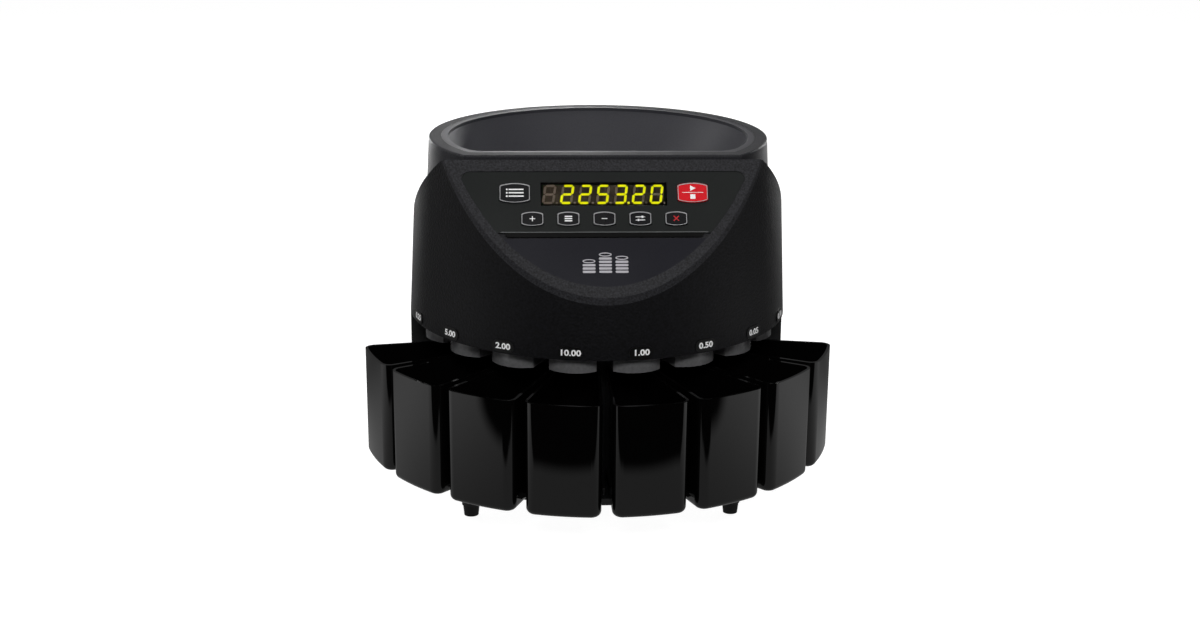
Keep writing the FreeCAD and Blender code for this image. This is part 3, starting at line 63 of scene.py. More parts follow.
# Added pieces start this far off the CAD surface, or prints this far inside it.
SEAT_GAP = 0.02
PRINT_DEPTH = 0.05
PANEL_PRINT_DEPTH = 0.03


# ---- places ------------------------------------------------------------------------------------
# A place turns (u, v, n) in millimetres, across, up and out of a surface, into a point in metres.

def mm(x, y, z):
    """A point in metres from millimetres."""
    return Vector((x, y, z)) * MM


def panel_at(x, s):
    """A place on the control panel, x across it and s up its slope."""
    slope = math.radians(PANEL_ANGLE)

    def place(u, v, n):
        y = PANEL_Y + (s + v) * math.cos(slope) - n * math.sin(slope)
        z = PANEL_Z + (s + v) * math.sin(slope) + n * math.cos(slope)
        return mm(x + u, y, z)

    return place


def wall_at(turn, z, taper=0.0):
    """A place on the drum's wall, so many degrees round from the front; the taper narrows it upwards."""
    angle = math.radians(turn)
    taper_slope = math.tan(math.radians(taper))

    def place(u, v, n):
        radius = DRUM_RADIUS - (z + v - PART_Z) * taper_slope + n
        reach = math.sqrt(radius ** 2 - u ** 2)
        x = reach * math.sin(angle) + u * math.cos(angle)
        y = DRUM_Y - reach * math.cos(angle) + u * math.sin(angle)
        return mm(x, y, z + v)

    return place


def back_at(x, z, lift=0.0):
    """A place on the flat back face as seen from behind, or so far off it."""
    return lambda u, v, n: mm(x - u, BACK_Y + lift + n, z + v)


def top_at(x, y, z):
    """A place on a level surface."""
    return lambda u, v, n: mm(x + u, y + v, z + n)


# ---- materials ---------------------------------------------------------------------------------

# Noise stays mostly in this range, which is spread out to the range that is wanted.
NOISE_RANGE = (0.3, 0.7)
NOISE_DETAIL = 2.0

# Waves per metre: grain is fine noise in the colour and the relief, a wave is broad noise in the gloss.
GRAIN = 900.0
WAVE = 9.0
WAVE_DETAIL = 3.0
SEGMENT_GRAIN = 400.0
LENS_WAVE = 60.0

SMOOTHEST = 0.02
SEGMENT_ROUGH = 0.4
SEGMENT_DIMMING = 0.85
LENS_IOR = 1.3
LENS_HAZE = 0.03
OPAQUE = 1.0


def new_material(name):
    """A node material: itself, its tree, its shader and an object-space coordinate."""
    material = bpy.data.materials.new(name)
    material.use_nodes = True
    tree = material.node_tree
    shader = tree.nodes["Principled BSDF"]
    coordinate = tree.nodes.new("ShaderNodeTexCoord").outputs["Object"]
    return material, tree, shader, coordinate


def noise(tree, coordinate, scale, detail=NOISE_DETAIL, stretch=None):
    """A noise value at so many waves per metre."""
    texture = tree.nodes.new("ShaderNodeTexNoise")
    texture.inputs["Scale"].default_value = scale
    texture.inputs["Detail"].default_value = detail
    if stretch:
        mapping = tree.nodes.new("ShaderNodeMapping")
        mapping.inputs["Scale"].default_value = stretch
        tree.links.new(coordinate, mapping.inputs["Vector"])
        coordinate = mapping.outputs["Vector"]
    tree.links.new(coordinate, texture.inputs["Vector"])
    return texture.outputs["Fac"]


def remap(tree, value, from_range, to_range, easing="LINEAR"):
    """A value moved from one range to another, and held at its ends."""
    ramp = tree.nodes.new("ShaderNodeMapRange")
    ramp.interpolation_type = easing
    ramp.inputs["From Min"].default_value = from_range[0]
    ramp.inputs["From Max"].default_value = from_range[1]
    ramp.inputs["To Min"].default_value = to_range[0]
    ramp.inputs["To Max"].default_value = to_range[1]
    tree.links.new(value, ramp.inputs["Value"])
    return ramp.outputs["Result"]


def shade(colour, factor):
    """A colour made lighter or darker."""
    return [min(channel * factor, 1.0) for channel in colour]


def mix_colours(tree, value, first, second):
    """A colour between two, by a value."""
    mix = tree.nodes.new("ShaderNodeMix")
    mix.data_type = "RGBA"
    mix.inputs["A"].default_value = (*first, OPAQUE)
    mix.inputs["B"].default_value = (*second, OPAQUE)
    tree.links.new(value, mix.inputs["Factor"])
    return mix.outputs["Result"]


def surface(name, colour, rough, metal=0.0, grain=GRAIN, grain_depth=0.0, speckle=0.15, wear=0.04,
            stretch=None, ior=1.45):
    """A procedural finish: moulded or brushed grain, speckled colour and uneven gloss."""
    material, tree, shader, coordinate = new_material(name)
    shader.inputs["Metallic"].default_value = metal
    shader.inputs["IOR"].default_value = ior
    broad = noise(tree, coordinate, WAVE, WAVE_DETAIL)
    fine = noise(tree, coordinate, grain, stretch=stretch)
    gloss = remap(tree, broad, NOISE_RANGE, (max(rough - wear, SMOOTHEST), rough + wear))
    tree.links.new(gloss, shader.inputs["Roughness"])
    spots = remap(tree, fine, NOISE_RANGE, (0.0, 1.0))
    tint = mix_colours(tree, spots, shade(colour, 1 - speckle), shade(colour, 1 + speckle))
    tree.links.new(tint, shader.inputs["Base Color"])
    if grain_depth:
        bump = tree.nodes.new("ShaderNodeBump")
        bump.inputs["Strength"].default_value = 1.0
        bump.inputs["Distance"].default_value = grain_depth * MM
        tree.links.new(fine, bump.inputs["Height"])
        tree.links.new(bump.outputs["Normal"], shader.inputs["Normal"])
    return material


def glowing(name, colour, strength):
    """A lit display segment, a little uneven."""
    material, tree, shader, coordinate = new_material(name)
    shader.inputs["Roughness"].default_value = SEGMENT_ROUGH
    shader.inputs["Emission Strength"].default_value = strength
    spots = noise(tree, coordinate, SEGMENT_GRAIN)
    tint = mix_colours(tree, spots, colour, shade(colour, SEGMENT_DIMMING))
    tree.links.new(tint, shader.inputs["Base Color"])
    tree.links.new(tint, shader.inputs["Emission Color"])
    return material


def smoked(name, colour):
    """The display's tinted lens."""
    material, tree, shader, coordinate = new_material(name)
    shader.inputs["Transmission Weight"].default_value = 1.0
    shader.inputs["IOR"].default_value = LENS_IOR
    shader.inputs["Base Color"].default_value = (*colour, OPAQUE)
    gloss = remap(tree, noise(tree, coordinate, LENS_WAVE), NOISE_RANGE, (0.0, LENS_HAZE))
    tree.links.new(gloss, shader.inputs["Roughness"])
    return material


# The finish of every CAD node, by the name of its material slot.
SURFACES = {
    "drum_black": dict(colour=(0.0024, 0.0024, 0.0032), rough=0.48, grain=620, grain_depth=0.34,
                       speckle=0.8, ior=1.25),
    "bezel_grey": dict(colour=(0.014, 0.014, 0.0165), rough=0.55, grain=760, grain_depth=0.24,
                       speckle=0.7, ior=1.3),
    "hopper_grey": dict(colour=(0.013, 0.013, 0.016), rough=0.55, grain_depth=0.12, speckle=0.4, ior=1.28),
    "bowl_grey": dict(colour=(0.033, 0.033, 0.039), rough=0.46, grain_depth=0.03, speckle=0.08, ior=1.35),
    "housing_black": dict(colour=(0.006, 0.006, 0.0065), rough=0.55, grain=1100, grain_depth=0.12,
                          speckle=0.3),
    "bin_black": dict(colour=(0.0013, 0.0012, 0.0012), rough=0.05, grain=500, speckle=0.1, wear=0.015,
                      ior=1.46),
    "chute_grey": dict(colour=(0.105, 0.105, 0.108), rough=0.22, grain=500, speckle=0.1),
    "overlay_dark": dict(colour=(0.0120, 0.0135, 0.0130), rough=0.34, grain=1600, grain_depth=0.02,
                         speckle=0.1, ior=1.3),
    "lower_panel_dark": dict(colour=(0.0090, 0.0090, 0.0135), rough=0.36, grain=1500, grain_depth=0.03,
                             ior=1.3),
    "key_dark": dict(colour=(0.006, 0.006, 0.007), rough=0.28, speckle=0.1),
    "key_red": dict(colour=(0.66, 0.012, 0.020), rough=0.36, speckle=0.06, ior=1.25),
    "label_black": dict(colour=(0.003, 0.003, 0.003), rough=0.32, speckle=0.1, ior=1.25),
    "display_black": dict(colour=(0.110, 0.095, 0.078), rough=0.5, speckle=0.1),
    "foot_rubber": dict(colour=(0.008, 0.008, 0.008), rough=0.75, grain=800, grain_depth=0.1),
    "belt_rubber": dict(colour=(0.014, 0.014, 0.014), rough=0.7, grain=700, grain_depth=0.1),
    "finger_rubber": dict(colour=(0.22, 0.035, 0.02), rough=0.6, grain=700, grain_depth=0.06),
    "deck_grey": dict(colour=(0.42, 0.42, 0.43), rough=0.35, metal=1.0, grain=500, grain_depth=0.02,
                      stretch=(1, 14, 1)),
    "rail_steel": dict(colour=(0.52, 0.52, 0.53), rough=0.28, metal=1.0, grain=500, grain_depth=0.02,
                       stretch=(1, 1, 20)),
    "screw_steel": dict(colour=(0.45, 0.45, 0.45), rough=0.32, metal=1.0, speckle=0.1),
    "frame_steel": dict(colour=(0.40, 0.40, 0.41), rough=0.38, metal=1.0, grain=400, stretch=(1, 12, 1)),
    "bearing_steel": dict(colour=(0.62, 0.62, 0.63), rough=0.14, metal=1.0, grain=400),
    "motor_steel": dict(colour=(0.34, 0.34, 0.35), rough=0.35, metal=1.0, grain=400, stretch=(1, 1, 16)),
    "supply_steel": dict(colour=(0.36, 0.36, 0.36), rough=0.42, metal=1.0, stretch=(1, 1, 12)),
    "hinge_steel": dict(colour=(0.035, 0.035, 0.037), rough=0.4, metal=0.6, grain_depth=0.04),
    "shaft_steel": dict(colour=(0.58, 0.58, 0.59), rough=0.2, metal=1.0, grain=400, stretch=(1, 1, 16)),
    "disc_grey": dict(colour=(0.10, 0.10, 0.105), rough=0.4, grain_depth=0.05),
    "pulley_white": dict(colour=(0.62, 0.61, 0.57), rough=0.42, grain_depth=0.02, speckle=0.05),
    "board_green": dict(colour=(0.010, 0.085, 0.030), rough=0.3, grain=300, speckle=0.25),
    "sensor_black": dict(colour=(0.010, 0.010, 0.010), rough=0.4),
    "socket_black": dict(colour=(0.010, 0.010, 0.010), rough=0.35, grain_depth=0.03),
    "rocker_black": dict(colour=(0.014, 0.014, 0.014), rough=0.22),
}
FINISHES = {name: surface(name, **looks) for name, looks in SURFACES.items()}
FINISHES["display_lens"] = smoked("display_lens", (0.55, 0.52, 0.48))

# The finishes of printed marks, display segments and a painted highlight.
LIT = glowing("segment_lit", (0.78, 0.86, 0.0), 1.6)
UNLIT = surface("segment_unlit", (0.40, 0.36, 0.32), 0.5, speckle=0.1)
WHITE_INK = surface("white_ink", (0.92, 0.92, 0.92), 0.5, speckle=0.05)
SILVER_INK = surface("silver_ink", (0.42, 0.42, 0.43), 0.35, metal=0.3, speckle=0.1)
RED_INK = surface("red_ink", (0.50, 0.01, 0.015), 0.4, speckle=0.05)
# Grey for the painted highlight along the overlay's lower edge.
EDGE_HIGHLIGHT_INK = surface("painted_edge_highlight", (0.10, 0.105, 0.105), 0.4, speckle=0.05)
PALE_INK = surface("pale_ink", (0.45, 0.44, 0.47), 0.45, speckle=0.05)


# ---- meshes ------------------------------------------------------------------------------------

MERGE_DISTANCE = 1e-7
TEXT_STRETCH = 1.18
TEXT_WEIGHT = 0.03
TEXT_EXTRUDE = 0.5
TEXT_STEPS = 4


def make_piece(name, verts, faces, body, slot, material):
    """A clean mesh that rides on a body and has its own material; the slot it is given is not used."""
    mesh = bpy.data.meshes.new(name)
    mesh.from_pydata(verts, [], faces)
    work = bmesh.new()
    work.from_mesh(mesh)
    bmesh.ops.remove_doubles(work, verts=work.verts, dist=MERGE_DISTANCE)
    bmesh.ops.recalc_face_normals(work, faces=work.faces)
    work.to_mesh(mesh)
    work.free()
    piece = bpy.data.objects.new(name, mesh)
    bpy.context.scene.collection.objects.link(piece)
    piece.data.materials.append(material)
    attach(piece, body)


def slabs(name, shapes, body, slot, material):
    """One piece from flat shapes: each is (loops, place, low, high), the first loop outside."""
    verts = []
    faces = []
    for loops, place, low, high in shapes:
        start = len(verts)
        flat = [point for loop in loops for point in loop]
        count = len(flat)
        verts += [place(u, v, low) for u, v in flat]
        verts += [place(u, v, high) for u, v in flat]
        outline = [[Vector((u, v, 0)) for u, v in loop] for loop in loops]
        for a, b, c in tessellate_polygon(outline):
            faces.append((start + a, start + b, start + c))
            faces.append((start + count + c, start + count + b, start + count + a))
        first = start
        for loop in loops:
            size = len(loop)
            for i in range(size):
                a = first + i
                b = first + (i + 1) % size
                faces.append((a, b, b + count, a + count))
            first += size
    make_piece(name, verts, faces, body, slot, material)


def raised_text(name, text, size, place, low, high, body, slot, material):
    """Numerals raised on a surface, centred on their place: the text's two sides go to low and high."""
    curve = bpy.data.curves.new(f"{name}_curve", "FONT")
    curve.body = text
    curve.size = size
    curve.align_x = "CENTER"
    curve.align_y = "CENTER"
    curve.extrude = TEXT_EXTRUDE
    curve.resolution_u = TEXT_STEPS
    curve.offset = size * TEXT_WEIGHT
    holder = bpy.data.objects.new(f"{name}_holder", curve)
    letters = bpy.data.meshes.new_from_object(holder)
    verts = []
    for vertex in letters.vertices:
        x, y, z = vertex.co
        verts.append(place(x * TEXT_STRETCH, y, low if z < 0 else high))
    faces = [list(polygon.vertices) for polygon in letters.polygons]
    bpy.data.objects.remove(holder)
    bpy.data.meshes.remove(letters)
    bpy.data.curves.remove(curve)
    make_piece(name, verts, faces, body, slot, material)


# ---- outlines ----------------------------------------------------------------------------------

def ellipse(u, v, wide, high, steps=28):
    """An oval loop of two half widths."""
    turns = [2 * math.pi * i / steps for i in range(steps)]
    return [(u + wide * math.cos(turn), v + high * math.sin(turn)) for turn in turns]


def circle(u, v, radius, steps=24):
    """A round loop."""
    return ellipse(u, v, radius, radius, steps)


def bend(start, corner, end, steps=4):
    """Points along a curve from start to end, pulled towards a corner."""
    points = []
    for i in range(steps + 1):
        t = i / steps
        spot = start * (1 - t) ** 2 + corner * 2 * t * (1 - t) + end * t ** 2
        points.append((spot.x, spot.y))
    return points


def sides_of(loop, i):
    """A corner of a loop, and the vectors from it to the corners before and after."""
    corner = Vector(loop[i])
    before = Vector(loop[i - 1]) - corner
    after = Vector(loop[(i + 1) % len(loop)]) - corner
    return corner, before, after


def rounded(loop, radius):
    """A loop with its corners rounded off, by less than half of each side."""
    share = 1 / 2.01
    result = []
    for i in range(len(loop)):
        corner, before, after = sides_of(loop, i)
        reach = min(radius, before.length * share, after.length * share)
        result += bend(corner + before.normalized() * reach, corner, corner + after.normalized() * reach)
    return result


def bar(u, v, wide, high, radius=0.2):
    """A rounded rectangle centred on a spot."""
    left = u - wide / 2
    right = u + wide / 2
    foot = v - high / 2
    top = v + high / 2
    return rounded([(left, foot), (right, foot), (right, top), (left, top)], radius)


def cross(reach, half, turn=0):
    """A cross-shaped loop, turned so many degrees."""
    c = math.cos(math.radians(turn))
    s = math.sin(math.radians(turn))
    corners = [(reach, -half), (reach, half), (half, half),
               (half, reach), (-half, reach), (-half, half),
               (-reach, half), (-reach, -half), (-half, -half),
               (-half, -reach), (half, -reach), (half, -half)]
    return [(u * c - v * s, u * s + v * c) for u, v in corners]


# ---- display -----------------------------------------------------------------------------------

DIGIT_S = 79.4
DIGIT_XS = [-38.6, -25.9, -13.2, -0.6, 12.1, 24.8, 37.4]
DIGIT_HALF = (3.5, 6.6)
DIGIT_SLANT = 0.14
DIGIT_LOW = -1.46
DIGIT_HIGH = -1.24
SEGMENT_HALF = 0.85
SEGMENT_GAP = 0.22
POINT_SPOT = (5.3, -6.6)
DOT_STEPS = 12
POINT_AFTER = 4
DIGITS = {"0": "abcdef", "2": "abged", "3": "abgcd", "5": "afgcd", " ": ""}
READING = " 225320"


def segment(start, end):
    """A six-sided segment between two corners of a digit."""
    along = (Vector(end) - Vector(start)).normalized()
    across = Vector((-along.y, along.x)) * SEGMENT_HALF
    a = Vector(start) + along * SEGMENT_GAP
    b = Vector(end) - along * SEGMENT_GAP
    nib = along * SEGMENT_HALF
    corners = [a, a + nib - across, b - nib - across, b, b - nib + across, a + nib + across]
    return [(corner.x + corner.y * DIGIT_SLANT, corner.y) for corner in corners]


def digit_segments():
    """The seven segments of a digit by letter, clockwise from the top, the middle one last."""
    w, h = DIGIT_HALF
    ends = {
        "a": ((-w, h), (w, h)),
        "b": ((w, h), (w, 0)),
        "c": ((w, 0), (w, -h)),
        "d": ((w, -h), (-w, -h)),
        "e": ((-w, -h), (-w, 0)),
        "f": ((-w, 0), (-w, h)),
        "g": ((-w, 0), (w, 0)),
    }
    return {letter: segment(*pair) for letter, pair in ends.items()}


def make_display():
    """Seven slanted digits with their points under the lens: a blank one and a number."""
    lit = []
    unlit = []
    segments = digit_segments()
    for index, (x, digit) in enumerate(zip(DIGIT_XS, READING)):
        place = panel_at(x, DIGIT_S)
        for letter, loop in segments.items():
            target = lit if letter in DIGITS[digit] else unlit
            target.append(([loop], place, DIGIT_LOW, DIGIT_HIGH))
        target = lit if index == POINT_AFTER else unlit
        point = circle(*POINT_SPOT, SEGMENT_HALF, DOT_STEPS)
        target.append(([point], place, DIGIT_LOW, DIGIT_HIGH))
    slabs("display_lit", lit, "upper_unit", "display_black", LIT)
    slabs("display_unlit", unlit, "upper_unit", "display_black", UNLIT)


# ---- keys --------------------------------------------------------------------------------------

# A key's size is its width, the height of its straight sides and the bow of its long edges.
KEY_SIZE = (15.4, 8.2, 1.3)
KEY_ROW = 60.0
KEY_PITCH = 25.35
BIGKEY_SIZE = (21.4, 11.7, 1.7)
BIGKEY_ROW = 80.0
BIGKEY_X = 63.0
KEY_CORNER = 1.2
KEY_CORNER_LEAST = 0.5
KEY_CORNER_SHARE = 0.8
KEY_EDGE_STEPS = 10
KEY_PROUD = 0.6
KEY_PRINT = (KEY_PROUD - PRINT_DEPTH, KEY_PROUD + 0.07)
RIM_OUTER_INSET = 0.12
RIM_INNER_INSET = 0.62
RIM_INNER_LIFT = -0.12
ICON_STROKE = 0.55
ICON_CORNER = 0.1


def barrel(size, inset, lift=0.0):
    """A key's outline: straight sides and bowed long edges, moved in by an inset."""
    width, side, bow = size
    half = width / 2 - inset
    edge = side / 2 - inset
    low = []
    for i in range(KEY_EDGE_STEPS + 1):
        across = 2 * i / KEY_EDGE_STEPS - 1
        low.append((half * across, -edge - bow * (1 - across ** 2) + lift))
    high = [(-u, -v + 2 * lift) for u, v in low]
    loop = low + high
    radius = max(KEY_CORNER - inset / 2, KEY_CORNER_LEAST)
    result = []
    for i, point in enumerate(loop):
        if i % (KEY_EDGE_STEPS + 1) in (0, KEY_EDGE_STEPS):
            corner, before, after = sides_of(loop, i)
            start = corner + before.normalized() * min(radius, before.length * KEY_CORNER_SHARE)
            end = corner + after.normalized() * min(radius, after.length * KEY_CORNER_SHARE)
            result += bend(start, corner, end)
        else:
            result.append(point)
    return result


def plus_icon():
    """A plus sign."""
    reach = 1.95
    return [[cross(reach, ICON_STROKE / 2)]]


def minus_icon():
    """A minus sign."""
    width = 4.0
    return [[bar(0, 0, width, ICON_STROKE, ICON_CORNER)]]


def batch_icon():
    """A stack of three coins."""
    pitch = 1.7
    width = 5.4
    height = 0.9
    corner = 0.4
    return [[bar(0, row * pitch, width, height, corner)] for row in (-1, 0, 1)]


def settings_icon():
    """Two sliders, their knobs to the left and to the right."""
    rail = (6.6, 0.5)
    knob = (1.2, 1.7)
    shapes = []
    for v, knob_u in ((-1.2, -1.4), (1.2, 1.4)):
        shapes.append([bar(0, v, *rail, ICON_CORNER)])
        shapes.append([bar(knob_u, v, *knob)])
    return shapes


def clear_icon():
    """A diagonal cross."""
    reach = 2.6
    half_stroke = 0.42
    return [[cross(reach, half_stroke, 45)]]


def list_icon():
    """A printed list: three dots and three lines."""
    pitch = 2.6
    dot_u = -5.6
    dot_radius = 0.7
    line_u = 1.0
    line = (10.6, 0.95)
    shapes = []
    for row in (-1, 0, 1):
        shapes.append([circle(dot_u, row * pitch, dot_radius, DOT_STEPS)])
        shapes.append([bar(line_u, row * pitch, *line)])
    return shapes


def start_icon():
    """A start triangle over a stop square, with a line between."""
    triangle = [(-1.7, 1.2), (2.2, 3.3), (-1.7, 5.4)]
    line = (15.0, 0.35)
    square_v = -3.2
    square = (3.6, 3.6)
    corner = 0.3
    return [[triangle], [bar(0, 0, *line, ICON_CORNER)], [bar(0, square_v, *square, corner)]]


KEYS = [
    ("key_plus", KEY_SIZE, -2 * KEY_PITCH, KEY_ROW, plus_icon, WHITE_INK),
    ("key_batch", KEY_SIZE, -KEY_PITCH, KEY_ROW, batch_icon, WHITE_INK),
    ("key_minus", KEY_SIZE, 0.0, KEY_ROW, minus_icon, WHITE_INK),
    ("key_settings", KEY_SIZE, KEY_PITCH, KEY_ROW, settings_icon, WHITE_INK),
    ("key_clear", KEY_SIZE, 2 * KEY_PITCH, KEY_ROW, clear_icon, RED_INK),
    ("key_list", BIGKEY_SIZE, -BIGKEY_X, BIGKEY_ROW, list_icon, WHITE_INK),
    ("key_start", BIGKEY_SIZE, BIGKEY_X, BIGKEY_ROW, start_icon, WHITE_INK),
]


def make_keys():
    """Printed rims and symbols of the keys."""
    for name, size, x, s, icon, ink in KEYS:
        place = panel_at(x, s)
        body = f"{name}_body"
        rim = [barrel(size, RIM_OUTER_INSET), barrel(size, RIM_INNER_INSET, RIM_INNER_LIFT)]
        slabs(f"{name}_rim", [(rim, place, *KEY_PRINT)], body, "key_dark", SILVER_INK)
        symbol = [(loops, place, *KEY_PRINT) for loops in icon()]
        slabs(f"{name}_symbol", symbol, body, "key_dark", ink)


# ---- labels and marks --------------------------------------------------------------------------

VALUES = ["0.25", "5.00", "2.00", "10.00", "1.00", "0.50", "0.05", "0.10"]
VALUE_SIZE = 5.9
LABEL_Z = 138.8
LABEL_THICK = 0.6
LABEL_PRINT = (LABEL_THICK - PRINT_DEPTH, LABEL_THICK + 0.06)

PANEL_PRINT_LOW = -FACE_SUNK - PANEL_PRINT_DEPTH
SYMBOL_HIGH = -0.22
SYMBOL_S = 26.5
SYMBOL_FOOT = -6.6
STACKS = [(-11.5, 3), (0.0, 5), (11.5, 4)]
COIN_PITCH = 2.5
COIN_SIZE = (9.0, 1.7)
COIN_CORNER = 0.8
COIN_FACE_LIFT = 0.5
COIN_FACE_OUTER = (4.5, 1.5)
COIN_FACE_INNER = (3.6, 0.85)

# A painted highlight along the overlay's lower edge: a thin grey line, not a print.
EDGE_HIGHLIGHT_S = 50.0
EDGE_HIGHLIGHT_SIZE = (146.0, 0.55)
EDGE_HIGHLIGHT_HIGH = -0.2
# A painted shadow: a dark band on the lower panel, in the groove under the overlay's edge.
SHADOW_BAND = [(-70.8, 49.4), (-68.2, 46.2), (68.2, 46.2), (70.8, 49.4)]
SHADOW_BAND_HIGH = -0.24


def make_values():
    """White numerals on the value labels."""
    for index, text in enumerate(VALUES):
        turn = RING_PITCH * (index - (BIN_COUNT - 1) / 2)
        place = wall_at(turn, LABEL_Z, DRUM_TAPER)
        raised_text(f"value_{index + 1}", text, VALUE_SIZE, place, *LABEL_PRINT, "upper_unit", "label_black",
                    WHITE_INK)


def make_symbol():
    """A plain symbol of three stacks of coins on the lower panel."""
    place = panel_at(0, SYMBOL_S)
    shapes = []
    for u, coins in STACKS:
        for i in range(coins):
            coin = bar(u, SYMBOL_FOOT + COIN_PITCH * i, *COIN_SIZE, COIN_CORNER)
            shapes.append(([coin], place, PANEL_PRINT_LOW, SYMBOL_HIGH))
        top = SYMBOL_FOOT + COIN_PITCH * coins + COIN_FACE_LIFT
        face = [ellipse(u, top, *COIN_FACE_OUTER), ellipse(u, top, *COIN_FACE_INNER)]
        shapes.append((face, place, PANEL_PRINT_LOW, SYMBOL_HIGH))
    slabs("coin_symbol", shapes, "upper_unit", "lower_panel_dark", PALE_INK)


def make_overlay_highlight_and_shadow():
    """A painted highlight along the overlay's lower edge, and a painted shadow in the band below it."""
    place = panel_at(0, 0)
    line = bar(0, EDGE_HIGHLIGHT_S, *EDGE_HIGHLIGHT_SIZE, ICON_CORNER)
    slabs("overlay_edge_highlight", [([line], place, PANEL_PRINT_LOW, EDGE_HIGHLIGHT_HIGH)], "upper_unit",
          "overlay_dark", EDGE_HIGHLIGHT_INK)
    slabs("overlay_shadow_band", [([SHADOW_BAND], place, PANEL_PRINT_LOW, SHADOW_BAND_HIGH)], "upper_unit",
          "lower_panel_dark", FINISHES["label_black"])


# ---- the rest of the machine ---------------------------------------------------------------------

VENT_TURNS = (218, 213, 208, 152, 147, 142)
VENT_ROWS = 7
VENT_Z = 84
VENT_PITCH = 5.0
VENT_SIZE = (9.6, 2.2)
VENT_CORNER = 1.0
VENT_RISE = 1.0

PLATE_Z = 44
PLATE_SIZE = (44.0, 14.0)
PLATE_CORNER = 1.2
PLATE_RISE = 0.25

# Parts of a screw head, as shares of its radius.
SCREW_TOP = 0.9
RECESS_REACH = 0.62
RECESS_HALF = 0.16

HINGE_LEAVES = [("base", 116.0), ("upper_unit", 147.5)]
HINGE_SCREW_XS = (-23, 0, 23)
HINGE_SCREW_RADIUS = 2.6
HINGE_SCREW_RISE = 1.0
LEAF_THICK = 3.0

DECK_SCREW_TURNS = (60, 90, 120, 150, 210, 240, 270, 300)
DECK_SCREW_REACH = 134.0
DECK_SCREW_RADIUS = 1.3
DECK_SCREW_RISE = 0.8

RIB_COUNT = 12
RIB_CENTRE = 52
RIB_SIZE = (38, 2.4)
RIB_CORNER = 1.1
RIB_RISE = 0.9
RIB_RING_OUTER = 86.5
RIB_RING_INNER = 83.5
RIB_RING_STEPS = 72

SEAM_RADIUS = 117.5
SEAM_HALF = 0.25
SEAM_START = -33
SEAM_SWEEP = 246
SEAM_STEPS = 90
SEAM_LOW = -0.1

SOFT_ANGLE = 35
SOFT_SEGMENTS = 2
BIN_EDGE = 0.35
CASING_EDGE = 0.5


def screw_head(radius, place, rise):
    """A pan-head screw in two layers, the upper one smaller and with a cross recess."""
    layer = rise / 2
    recess = cross(RECESS_REACH * radius, RECESS_HALF * radius)
    return [([circle(0, 0, radius)], place, SEAT_GAP, layer),
            ([circle(0, 0, SCREW_TOP * radius), recess[::-1]], place, layer, rise)]


def make_vents():
    """Vent louvres round the rear wall."""
    louvre = bar(0, 0, *VENT_SIZE, VENT_CORNER)
    shapes = []
    for turn in VENT_TURNS:
        for row in range(VENT_ROWS):
            shapes.append(([louvre], wall_at(turn, VENT_Z + VENT_PITCH * row), SEAT_GAP, VENT_RISE))
    slabs("vent_louvres", shapes, "base", "housing_black", FINISHES["housing_black"])


def make_back():
    """A blank plate and the hinge's screws on the back face."""
    plate = bar(0, 0, *PLATE_SIZE, PLATE_CORNER)
    slabs("blank_plate", [([plate], back_at(0, PLATE_Z), SEAT_GAP, PLATE_RISE)], "base", "rail_steel",
          FINISHES["rail_steel"])
    for body, z in HINGE_LEAVES:
        heads = []
        for x in HINGE_SCREW_XS:
            heads += screw_head(HINGE_SCREW_RADIUS, back_at(x, z, LEAF_THICK), HINGE_SCREW_RISE)
        slabs(f"hinge_screws_{body}", heads, body, "hinge_steel", FINISHES["screw_steel"])


def make_deck_screws():
    """Screws round the sorting deck."""
    heads = []
    for turn in DECK_SCREW_TURNS:
        angle = math.radians(turn)
        x = DECK_SCREW_REACH * math.sin(angle)
        y = DRUM_Y - DECK_SCREW_REACH * math.cos(angle)
        heads += screw_head(DECK_SCREW_RADIUS, top_at(x, y, DECK_TOP), DECK_SCREW_RISE)
    slabs("deck_screws", heads, "base", "screw_steel", FINISHES["screw_steel"])


def make_disc_ribs():
    """Radial ribs and a ring on the sorting disc."""
    place = top_at(0, DRUM_Y, DISC_TOP)
    shapes = []
    for i in range(RIB_COUNT):
        angle = 2 * math.pi * (i + 0.5) / RIB_COUNT
        c = math.cos(angle)
        s = math.sin(angle)
        rib = [(u * c - v * s, u * s + v * c) for u, v in bar(RIB_CENTRE, 0, *RIB_SIZE, RIB_CORNER)]
        shapes.append(([rib], place, SEAT_GAP, RIB_RISE))
    ring = [circle(0, 0, radius, RIB_RING_STEPS) for radius in (RIB_RING_OUTER, RIB_RING_INNER)]
    shapes.append((ring, place, SEAT_GAP, RIB_RISE))
    slabs("disc_ribs", shapes, "rotor", "disc_grey", FINISHES["disc_grey"])


def arc(radius):
    """Points along the hopper's seam at a radius."""
    turns = [math.radians(SEAM_START + SEAM_SWEEP * i / SEAM_STEPS) for i in range(SEAM_STEPS + 1)]
    return [(radius * math.cos(turn), radius * math.sin(turn)) for turn in turns]


def make_seam():
    """The dark line between the hopper ring and the lip of its bowl."""
    loop = arc(SEAM_RADIUS + SEAM_HALF) + arc(SEAM_RADIUS - SEAM_HALF)[::-1]
    slabs("hopper_seam", [([loop], top_at(0, HOPPER_Y, HOPPER_TOP), SEAM_LOW, SEAT_GAP)], "upper_unit",
          "hopper_grey", FINISHES["label_black"])


def soften(names, width):
    """Round the sharp edges of CAD nodes a little."""
    for name in names:
        bevel = NODES[name].modifiers.new("soft_edges", "BEVEL")
        bevel.width = width * MM
        bevel.segments = SOFT_SEGMENTS
        bevel.limit_method = "ANGLE"
        bevel.angle_limit = math.radians(SOFT_ANGLE)
        bevel.harden_normals = False


def dress_nodes():
    """Give every CAD node its finish."""
    slots = {part["node"]: part["material_slot"] for part in frame["record"]["subparts"]}
    for name, node in NODES.items():
        node.data.materials.clear()
        node.data.materials.append(FINISHES[slots[name]])


# ---- floor and surround ------------------------------------------------------------------------
# The floor, the surround and the lights are in metres.

